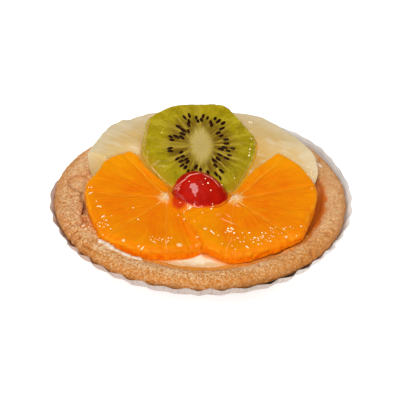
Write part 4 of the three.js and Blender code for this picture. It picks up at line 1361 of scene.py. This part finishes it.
glaze_line = np.arange(-GLAZE_SPAN, GLAZE_SPAN, GLAZE_STEP)
glaze_x, glaze_y = np.meshgrid(glaze_line, glaze_line, indexing="ij")
cream_share = np.hypot(glaze_x, glaze_y) / CREAM_REACH
laid = [
    press_under(np.stack([glaze_x, glaze_y, height], axis=-1), ramp=GENTLE_RAMP)[..., 2]
    for height in (CREAM_EDGE_HEIGHT + CREAM_CROWN * (1.0 - cream_share ** 2),
                   *(pineapple_top(piece, glaze_x, glaze_y) for piece in PINEAPPLE.values()))]
fruit_height = np.maximum.reduce([
    *laid, cherry_top(glaze_x, glaze_y),
    *(slice_top(piece, glaze_x, glaze_y, edge) for piece, edge in
      zip(slices, (ORANGE_EDGE_ROUND, ORANGE_EDGE_ROUND, KIWI_EDGE_ROUND)))])
# The ball is larger, and the pool fuller, along the right orange's last edge and by the cherry.
lobe_gap = np.hypot((glaze_x - LOBE_POOL[0]) / 0.6, glaze_y - LOBE_POOL[1])
lobe_edge = smoothstep(lobe_gap, 12.0, 7.0) * smoothstep(glaze_y, -37.5, -34.5)
cherry_gap = np.hypot(glaze_x - CHERRY_POOL[0], glaze_y - CHERRY_POOL[1])
by_cherry = smoothstep(cherry_gap, 5.4, 2.7)
in_front = np.maximum(lobe_edge, by_cherry)
rolled = (ball_rolled(fruit_height, GLAZE_BALL) * (1.0 - in_front)
          + ball_rolled(fruit_height, GLAZE_BALL_FRONT) * in_front)
for _ in range(3):
    rolled = np.mean(nine_round(rolled), axis=0)
glaze_reach = np.hypot(glaze_x, glaze_y - GLAZE_MIDDLE_Y)
glaze_depth = (rolled - fruit_height) * np.maximum(
    smoothstep(glaze_reach, GLAZE_END_RADIUS, GLAZE_FULL_RADIUS), lobe_edge)
wet = glaze_depth > GLAZE_LEAST
neighbours = np.sum(nine_round(wet), axis=0)
glaze_top = fruit_height + glaze_depth
around = np.sum(nine_round(np.where(wet, glaze_top, 0.0)), axis=0)
rim = np.minimum(around / np.maximum(neighbours, 1), fruit_height - 0.15)
glaze_top = np.where(wet, glaze_top, rim)
kept = neighbours > 0
cells = kept[:-1, :-1] & kept[1:, :-1] & kept[1:, 1:] & kept[:-1, 1:]
glaze_under = np.minimum(fruit_height, glaze_top) - GLAZE_THICKNESS
glaze_points, glaze_faces, glaze_used = cell_shell(
    glaze_x, glaze_y, glaze_top, glaze_under, cells)
glaze_pools = make_piece(
    "glaze_pools", (glaze_points, [glaze_faces]), glaze_finish())
glaze_pools.visible_shadow = False
fruit_low = fruit_height
for _ in range(2):
    fruit_low = np.minimum.reduce(nine_round(fruit_low))
pool_depth = (glaze_top - fruit_low) * smoothstep(glaze_depth, GLAZE_LEAST, 0.4) * wet
mark(glaze_pools, "depth", np.append(pool_depth, 0.0 * pool_depth)[glaze_used], ())

# Painted glints as beads and painted window reflections as flat bubbles, at x, y with a radius,
# and painted glint streaks from one point to another.
GLINT_BEADS = [
    (9.7, -26.2, 0.42), (9.5, -27.4, 0.36), (10.1, -27.9, 0.34), (10.9, -25.9, 0.4),
    (11.4, -26.8, 0.38), (10.8, -27.7, 0.3), (11.8, -29.0, 0.42), (8.7, -28.5, 0.26),
    (17.2, -29.4, 0.38), (14.8, -29.1, 0.24), (21.7, -30.1, 0.3), (23.0, -30.5, 0.28),
    (22.0, -31.8, 0.3), (29.5, -28.5, 0.28), (35.8, -27.8, 0.32), (19.1, -32.5, 0.32),
    (18.5, -34.9, 0.32), (24.5, -35.0, 0.28), (13.9, -34.2, 0.24), (15.2, -34.3, 0.24),
    (20.2, -36.5, 0.24), (21.4, -36.1, 0.22), (10.9, -36.2, 0.24), (12.0, -38.4, 0.22),
    (31.9, -27.9, 0.22), (33.9, -31.8, 0.2), (-38.5, -12.1, 0.24), (-34.3, -22.5, 0.34),
    (-36.7, -23.7, 0.28), (-36.6, -25.4, 0.32), (-33.6, -25.2, 0.3), (-32.5, -27.1, 0.26),
    (-24.9, -15.0, 0.26), (-22.9, -21.6, 0.34), (-41.9, -23.4, 0.3), (-40.8, -22.0, 0.28),
    (-35.2, -29.3, 0.2), (-41.8, -4.2, 0.26), (-40.8, -4.1, 0.3), (-6.2, -21.3, 0.3),
    (-5.1, -16.6, 0.24), (-8.3, -18.7, 0.22), (-2.4, -23.5, 0.2), (0.5, -18.8, 0.24),
    (6.1, -30.8, 0.26), (7.4, -35.2, 0.22), (-11.7, -31.6, 0.24), (12.8, -31.6, 0.2),
    (1.5, -9.2, 0.26), (2.5, -10.3, 0.36), (3.5, -12.0, 0.28), (0.6, -11.4, 0.16),
    (-4.4, -10.6, 0.2), (7.6, -6.2, 0.32), (-2.6, -15.5, 0.2), (-7.7, -14.1, 0.2),
    (-3.9, -16.1, 0.36), (-4.3, -16.5, 0.34), (3.7, -16.1, 0.34), (4.2, -15.3, 0.24),
    (4.1, -14.7, 0.2), (12.6, 5.0, 0.26), (-15.2, 20.7, 0.2), (19.4, 22.8, 0.26),
    (18.8, 18.1, 0.36), (18.5, 16.7, 0.22), (18.4, 15.3, 0.38), (15.8, 35.2, 0.28),
    (19.1, 35.2, 0.42), (19.9, 34.9, 0.3), (37.9, 9.3, 0.28), (38.1, 7.1, 0.3), (40.3, 7.5, 0.36),
    (40.7, 6.4, 0.26), (40.9, -7.4, 0.24),
]
REFLECTION_BUBBLES = [
    (-7.7, -35.4, 1.25), (-1.4, -31.6, 0.8), (1.5, -27.6, 0.85), (-27.7, -33.2, 0.75),
    (30.2, -32.8, 0.6),
]
GLINT_STREAKS = [
    (-41.7, -8.1, -40.0, -6.2), (-38.2, -15.0, -37.3, -14.4), (-37.3, -14.4, -36.5, -15.3),
    (-36.3, -21.1, -35.0, -19.4), (3.1, -28.3, 4.8, -30.4), (15.6, -36.7, 16.8, -38.1),
    (-22.4, -36.6, -21.9, -35.9), (-43.6, -22.3, -42.2, -21.0), (-21.3, -37.8, -20.4, -36.1),
]
# Patches of painted glints: the middle and spread of a patch in x and y, and how many beads it
# has.
GLINT_PATCHES = [
    (20.0, -33.0, 7.0, 1.6, 26), (-15.0, -33.3, 5.5, 2.2, 22), (-35.5, -23.0, 3.5, 4.0, 8),
    (27.0, -29.0, 5.0, 3.0, 10), (40.0, 7.0, 2.0, 3.5, 16),
]
# Clear drops of glaze, at x, y with half length, half width, height and direction.
DROPS = [
    (-17.4, 7.0, 1.3, 0.7, 0.35, 0.3), (-16.1, 8.3, 1.2, 0.6, 0.35, 0.5),
    (-15.2, 6.4, 1.4, 0.6, 0.35, 0.1), (-13.6, 6.6, 0.9, 0.6, 0.3, 0.0),
    (-20.3, 11.6, 0.6, 1.0, 0.4, 0.0), (-20.4, 9.6, 0.7, 0.7, 0.4, 0.0),
    (6.2, -18.6, 1.0, 0.5, 0.3, 0.4),
]
# Edges of the dried skin of glaze, each with its width and its x, y from end to end. The first
# four lie over the cherry, and high on it they paint its pink rim reflection.
THREADS_AND_RIM_GLINTS = [
    (0.34, [(-10.6, -8.3), (-9.3, -9.6), (-8.1, -9.8), (-7.0, -9.7), (-6.1, -9.6), (-5.4, -8.9),
        (-4.1, -8.0), (-2.3, -7.8), (-0.1, -7.3)]),
    (0.24, [(0.4, -7.5), (1.1, -7.7), (2.6, -7.7), (4.2, -7.6), (5.5, -8.2), (6.8, -9.1)]),
    (0.17, [(-9.8, -9.8), (-8.9, -10.4), (-7.9, -10.6), (-7.1, -10.5)]),
    (0.3, [(-8.8, -11.3), (-8.3, -11.3), (-7.9, -11.1)]),
    (0.15, [(-19.5, 25.8), (-20.0, 24.4), (-20.4, 22.9), (-20.7, 20.2), (-21.0, 18.0),
        (-21.2, 15.8), (-21.4, 13.7), (-21.4, 12.2)]),
    (0.17, [(-18.9, 6.2), (-17.4, 4.1), (-16.2, 3.0), (-14.3, 1.0)]),
    (0.16, [(9.0, -18.0), (9.9, -19.0), (10.8, -19.9)]),
    (0.16, [(6.8, -21.3), (7.7, -20.6), (8.4, -21.6), (10.1, -22.5), (12.8, -24.1)]),
    (0.2, [(11.1, -31.2), (10.6, -33.0), (9.8, -34.9), (9.2, -37.2), (8.8, -38.6)]),
    (0.16, [(-12.7, -31.5), (-12.5, -34.9), (-12.1, -37.6)]),
    (0.2, [(-6.6, -18.4), (-6.3, -17.8), (-5.5, -17.0)]),
    (0.22, [(10.0, -12.7), (10.7, -11.0), (12.0, -9.0), (13.4, -9.2), (13.9, -10.6)]),
    (0.2, [(13.4, -11.9), (12.6, -13.0), (14.6, -14.3)]),
    (0.24, [(-15.3, -7.2), (-14.0, -6.6), (-12.6, -5.6)]),
    (0.24, [(-13.7, -10.6), (-12.8, -10.2), (-12.4, -11.6)]),
]
THREAD_STEP, THREAD_COLUMNS = 0.5, 7
GLINT_RADIUS, GLINT_SPREAD = 0.13, 0.03


def settled(x, y, pieces):
    """The highest points of some pieces straight below points x, y, and the normals there."""
    found = []
    for start in np.stack([x * MM, y * MM, np.full(len(x), 0.06)], axis=-1):
        hits = [piece.ray_cast(Vector(start), Vector((0.0, 0.0, -1.0))) for piece in pieces]
        found.append(max((hit for hit in hits if hit[0]), key=lambda hit: hit[1].z))
    return np.array([hit[1] for hit in found]) / MM, np.array([hit[2] for hit in found])


def beads_on(spots, pieces):
    """Ellipsoids pressed into the pieces at spots (x, y, half length, half width, half height,
    direction)."""
    x, y, length, width, height, direction = np.array(spots).T
    centres, up = settled(x, y, pieces)
    across = unit(np.cross(up, spun(direction, 1.0, 0.0)))
    sizes = np.stack([length, width, height], axis=-1)[..., None]
    axes = np.stack([np.cross(across, up), across, up], axis=1) * sizes
    return scatter(ellipsoid_faces(4, 8), centres, axes)


def threads_on(threads, pieces):
    """Thin tubes laid on the pieces, with even steps along each path and a ring of points round
    it. Each tapers to its ends as the square root of a sine, and wanders in width."""
    points, faces = [], []
    for width, path in threads:
        length = lengths_along(path)
        share = np.linspace(0.0, 1.0, max(6, int(length[-1] / THREAD_STEP)))
        centres, up = settled(*(np.interp(share * length[-1], length, side)
                                for side in np.transpose(path)), pieces)
        sideways = unit(np.cross(up, np.gradient(centres, axis=0)))[:, None, :]
        thick = width * np.sqrt(np.sin(np.pi * (0.02 + 0.96 * share)))
        thick = (thick * (1.0 + 0.45 * lumps(centres, 0.8, 97)))[:, None, None]
        angle = turns(THREAD_COLUMNS)[None, :, None]
        rings = centres[:, None, :] + thick * (
            np.cos(angle) * sideways - 0.7 * np.sin(angle) * up[:, None, :])
        tube, groups = closed_rings(rings, centres[0], centres[-1])
        faces += [group + sum(map(len, points)) for group in groups]
        points.append(tube)
    return np.concatenate(points), faces


def glint_finish():
    """Painted glints: near-white beads with a wet shine and a glow of their own."""
    finish = Finish("painted_glint_white")
    cloud = finish.noise(finish.place(), 1.5, 1.0)
    colour = finish.mix(cloud, (255, 248, 226), (255, 236, 190))
    return finish.finished(colour, 0.2, glow=(tone(255, 240, 200), 0.2))


def reflection_finish():
    """Painted window reflections: thin peach-pale domes with deeper clouds and a glow of their
    own.
    """
    finish = Finish("painted_reflection_peach")
    cloud = finish.noise(finish.place(), 0.6, 2.0)
    colour = finish.mix(cloud.step(0.4, 0.6), (252, 204, 150), (246, 176, 98))
    return finish.finished(colour, 0.3, coat=(0.6, 0.05), glow=(tone(250, 200, 140), 0.15))


def drop_finish():
    """Clear syrup that stands up in a drop."""
    finish = Finish("syrup_drop")
    cloud = finish.noise(finish.place(), 0.8, 1.0)
    colour = finish.mix(cloud, (236, 222, 150), (226, 204, 116))
    return finish.finished(colour, 0.4, alpha=0.12 + 0.25 * cloud, coat=(1.0, 0.03))


def thread_finish():
    """Dried syrup, milky and thin enough to let the fruit through, and orange in front. High on
    the cherry it is pink, a painted rim reflection."""
    finish = Finish("dried_syrup_and_rim_reflection")
    place = finish.place()
    cloud = finish.noise(place, 1.2, 1.0)
    _, y, height = finish.parts(place)
    colour = finish.lay(
        (255, 222, 180),
        (cloud, (253, 204, 140)),
        # Painted pink rim reflection where the threads run high on the cherry.
        (height.step(27.0, 29.0) * 0.8, (246, 158, 146)),
        (y.step(-22.0, -28.0) * 0.85, (255, 188, 80)))
    return finish.finished(
        colour, 0.3, specular=0.25, alpha=0.35 + 0.4 * cloud.step(0.35, 0.6))


glazed = [bpy.data.objects[name] for name in (
    "baked_shell", "pineapple_left_flesh", "pineapple_right_flesh", "orange_left_flesh",
    "orange_right_flesh", "kiwi_flesh", "candied_cherry", "glaze_pools")]
# Painted glints: beads, streaks and patches of tiny beads, near-white and glowing a little.
glint_spots = [(x, y, radius, radius * 0.9, radius * 0.7, 0.0) for x, y, radius in GLINT_BEADS]
for x0, y0, x1, y1 in GLINT_STREAKS:
    half, turn = np.hypot(x1 - x0, y1 - y0) / 2.0, np.arctan2(y1 - y0, x1 - x0)
    glint_spots.append(((x0 + x1) / 2.0, (y0 + y1) / 2.0, half, 0.22, 0.2, turn))
for x, y, spread_x, spread_y, count in GLINT_PATCHES:
    for dx, dy, size in draw.normal(size=(count, 3)):
        radius = GLINT_RADIUS + GLINT_SPREAD * abs(size)
        place = x + 0.5 * spread_x * dx, y + 0.5 * spread_y * dy
        glint_spots.append((*place, radius, radius, radius, 0.0))
# Painted window reflections: flat peach domes that glow a little.
reflection_spots = [(x, y, radius, radius * 0.85, 0.22, 0.4) for x, y, radius in REFLECTION_BUBBLES]
make_piece("painted_glint_beads", beads_on(glint_spots, glazed), glint_finish())
make_piece("painted_reflections", beads_on(reflection_spots, glazed), reflection_finish())
threads = make_piece("glaze_threads", threads_on(THREADS_AND_RIM_GLINTS, glazed), thread_finish())
drops = make_piece("glaze_drops", beads_on(DROPS, glazed), drop_finish())
for clear in (threads, drops):
    clear.visible_shadow = False


# --- Smears and crumbs ------------------------------------------------------------------------
# Cream that the fruit squeezed out over the crust's inside, and crumbs of the crust on its lip.

# Smears, each with its width and its x, y from end to end.
SMEARS = [
    (1.25, [(-37.0, -29.9), (-35.6, -31.2), (-34.0, -32.5), (-32.4, -34.2), (-30.6, -35.8),
        (-28.9, -37.2)]),
    (0.85, [(-31.0, -35.2), (-28.8, -37.1), (-27.0, -38.3), (-25.2, -39.4), (-23.9, -40.1)]),
    (0.75, [(-24.6, -39.8), (-23.2, -40.4), (-21.8, -40.9), (-20.6, -41.4)]),
    (0.5, [(-42.0, -26.0), (-41.2, -26.6), (-40.4, -27.4)]),
    (0.75, [(43.2, 20.6), (44.2, 19.4), (45.2, 18.2), (46.2, 17.0), (47.0, 15.8)]),
]
CRUMB_COUNT, CRUMB_LOW_SHARE = 300, 0.85


def shaken(shape, amount, sizes, seed):
    """A shape whose points are moved by lumps of their own along each axis."""
    points, faces = shape
    moves = [lumps(points, size, seed + axis) for axis, size in enumerate(sizes)]
    return points + amount * np.stack(moves, axis=-1), faces


def smear_finish():
    """Cream, a little stained by juice, and more so at the far left."""
    finish = Finish("cream_smears")
    place = finish.place()
    cloud = finish.noise(place, 1.6, 3.0)
    colour = finish.lay(
        (238, 222, 206),
        (cloud.step(0.35, 0.7), (228, 190, 150)),
        (finish.parts(place)[0].step(-38.0, -41.0) * 0.9, (224, 168, 108)))
    return finish.finished(colour, 0.4, finish.bump(cloud, 0.3))


def crumb_finish():
    """Crumbs of the same dough, most of them paler than the crust, and some well browned."""
    finish = Finish("loose_crumbs")
    place = finish.place()
    shade = finish.noise(place, 2.2, 1.0)
    colour = finish.mix(shade.step(0.42, 0.58), (230, 190, 140), (202, 136, 74))
    return finish.finished(colour, 0.8, finish.bump(finish.noise(place, 0.4, 2.0), 0.2))


smears = shaken(threads_on(SMEARS, glazed), 0.25, (1.1, 1.2, 0.9), 91)
make_piece("cream_smears", smears, smear_finish())
crumb_turn = draw.uniform(0.0, 2.0 * np.pi, CRUMB_COUNT)
crumb_low = draw.uniform(0.0, 1.0, CRUMB_COUNT) < CRUMB_LOW_SHARE
crumb_reach = np.where(
    crumb_low, draw.uniform(51.0, 52.7, CRUMB_COUNT), draw.uniform(45.5, 52.0, CRUMB_COUNT))
crumb_x, crumb_y, _ = spun(crumb_turn, crumb_reach + CRUST_OVAL * oval(crumb_turn), 0.0).T
crumb_size = draw.uniform(0.18, 0.4, CRUMB_COUNT)
crumb_spots = np.stack([
    crumb_x, crumb_y, crumb_size, crumb_size * draw.uniform(0.6, 1.0, CRUMB_COUNT),
    crumb_size * draw.uniform(0.5, 0.9, CRUMB_COUNT), draw.uniform(0.0, np.pi, CRUMB_COUNT)],
    axis=-1)
crumbs = shaken(beads_on(crumb_spots, [crust_piece]), 0.08, (0.3, 0.35, 0.3), 94)
make_piece("crust_crumbs", crumbs, crumb_finish())


# --- Table, light and camera ------------------------------------------------------------------
# A plain pale table under a softbox in front, a large soft light from the left, a strip behind,
# one small lamp at the right and a dim room, seen from in front and above.

TABLE_HALF_WIDTH = 3.0
ROOM_LIGHT = 0.27
CAMERA_ELEVATION, CAMERA_DISTANCE = 35.5, 0.52
CAMERA_AIM = (-0.00044, 0.0, 0.0172)
CAMERA_LENS, CAMERA_SENSOR = 123.8, 36.0


def way_from(bearing, elevation):
    """The way from the tart to a place. Bearing 0 is in front and 90 to the right."""
    turn, lift = np.radians(bearing), np.radians(elevation)
    return Vector((np.sin(turn) * np.cos(lift), -np.cos(turn) * np.cos(lift), np.sin(lift)))


def soft_light(name, bearing, elevation, distance, width, height, radiance, mirrored=True):
    """A rectangular area light that looks at the tart. Glossy surfaces mirror it or not."""
    light = bpy.data.lights.new(name, "AREA")
    light.shape = "RECTANGLE"
    light.size, light.size_y = width, height
    light.energy = radiance * np.pi * width * height
    lamp = put(name, light)
    way = way_from(bearing, elevation)
    lamp.location = Vector((0.0, 0.0, 0.02)) + distance * way
    lamp.rotation_euler = way.to_track_quat("Z", "Y").to_euler()
    lamp.visible_glossy = mirrored


def table_finish():
    """Matt near-white board with a barely visible cloudiness."""
    finish = Finish("pale_table")
    cloud = finish.noise(finish.place(), 60.0, 2.0)
    colour = finish.mix(cloud, (206, 206, 206), (210, 210, 210))
    return finish.finished(colour, 0.9, specular=0.1, glow=(tone(255, 255, 255), 0.68))


table_mesh = bpy.data.meshes.new("table")
table_mesh.from_pydata(
    [(x * TABLE_HALF_WIDTH, y * TABLE_HALF_WIDTH, 0.0) for x, y in
     ((-1, -1), (1, -1), (1, 1), (-1, 1))], [], [(0, 1, 2, 3)])
table_mesh.materials.append(table_finish())
table = put("table", table_mesh)

soft_light("front_softbox", -8.0, 46.0, 1.8, 0.8, 1.0, 8.6)
soft_light("left_softbox", -70.0, 62.0, 2.0, 1.6, 1.6, 1.1, mirrored=False)
soft_light("back_strip", 180.0, 9.0, 2.4, 2.4, 0.25, 3.5, mirrored=False)
soft_light("front_spark", 58.0, 60.0, 1.8, 0.1, 0.1, 100.0)

world = bpy.data.worlds.new("room")
world.use_nodes = True
world.node_tree.nodes["Background"].inputs["Color"].default_value = (1.0, 1.0, 1.0, 1.0)
world.node_tree.nodes["Background"].inputs["Strength"].default_value = ROOM_LIGHT
world.cycles_visibility.glossy = False
bpy.context.scene.world = world
bpy.context.scene.view_settings.view_transform = "Standard"

camera = put("camera", bpy.data.cameras.new("camera"))
camera.data.lens = CAMERA_LENS
camera.data.sensor_width = CAMERA_SENSOR
toward = way_from(0.0, CAMERA_ELEVATION)
camera.location = Vector(CAMERA_AIM) + CAMERA_DISTANCE * toward
camera.rotation_euler = toward.to_track_quat("Z", "Y").to_euler()
bpy.context.scene.camera = camera
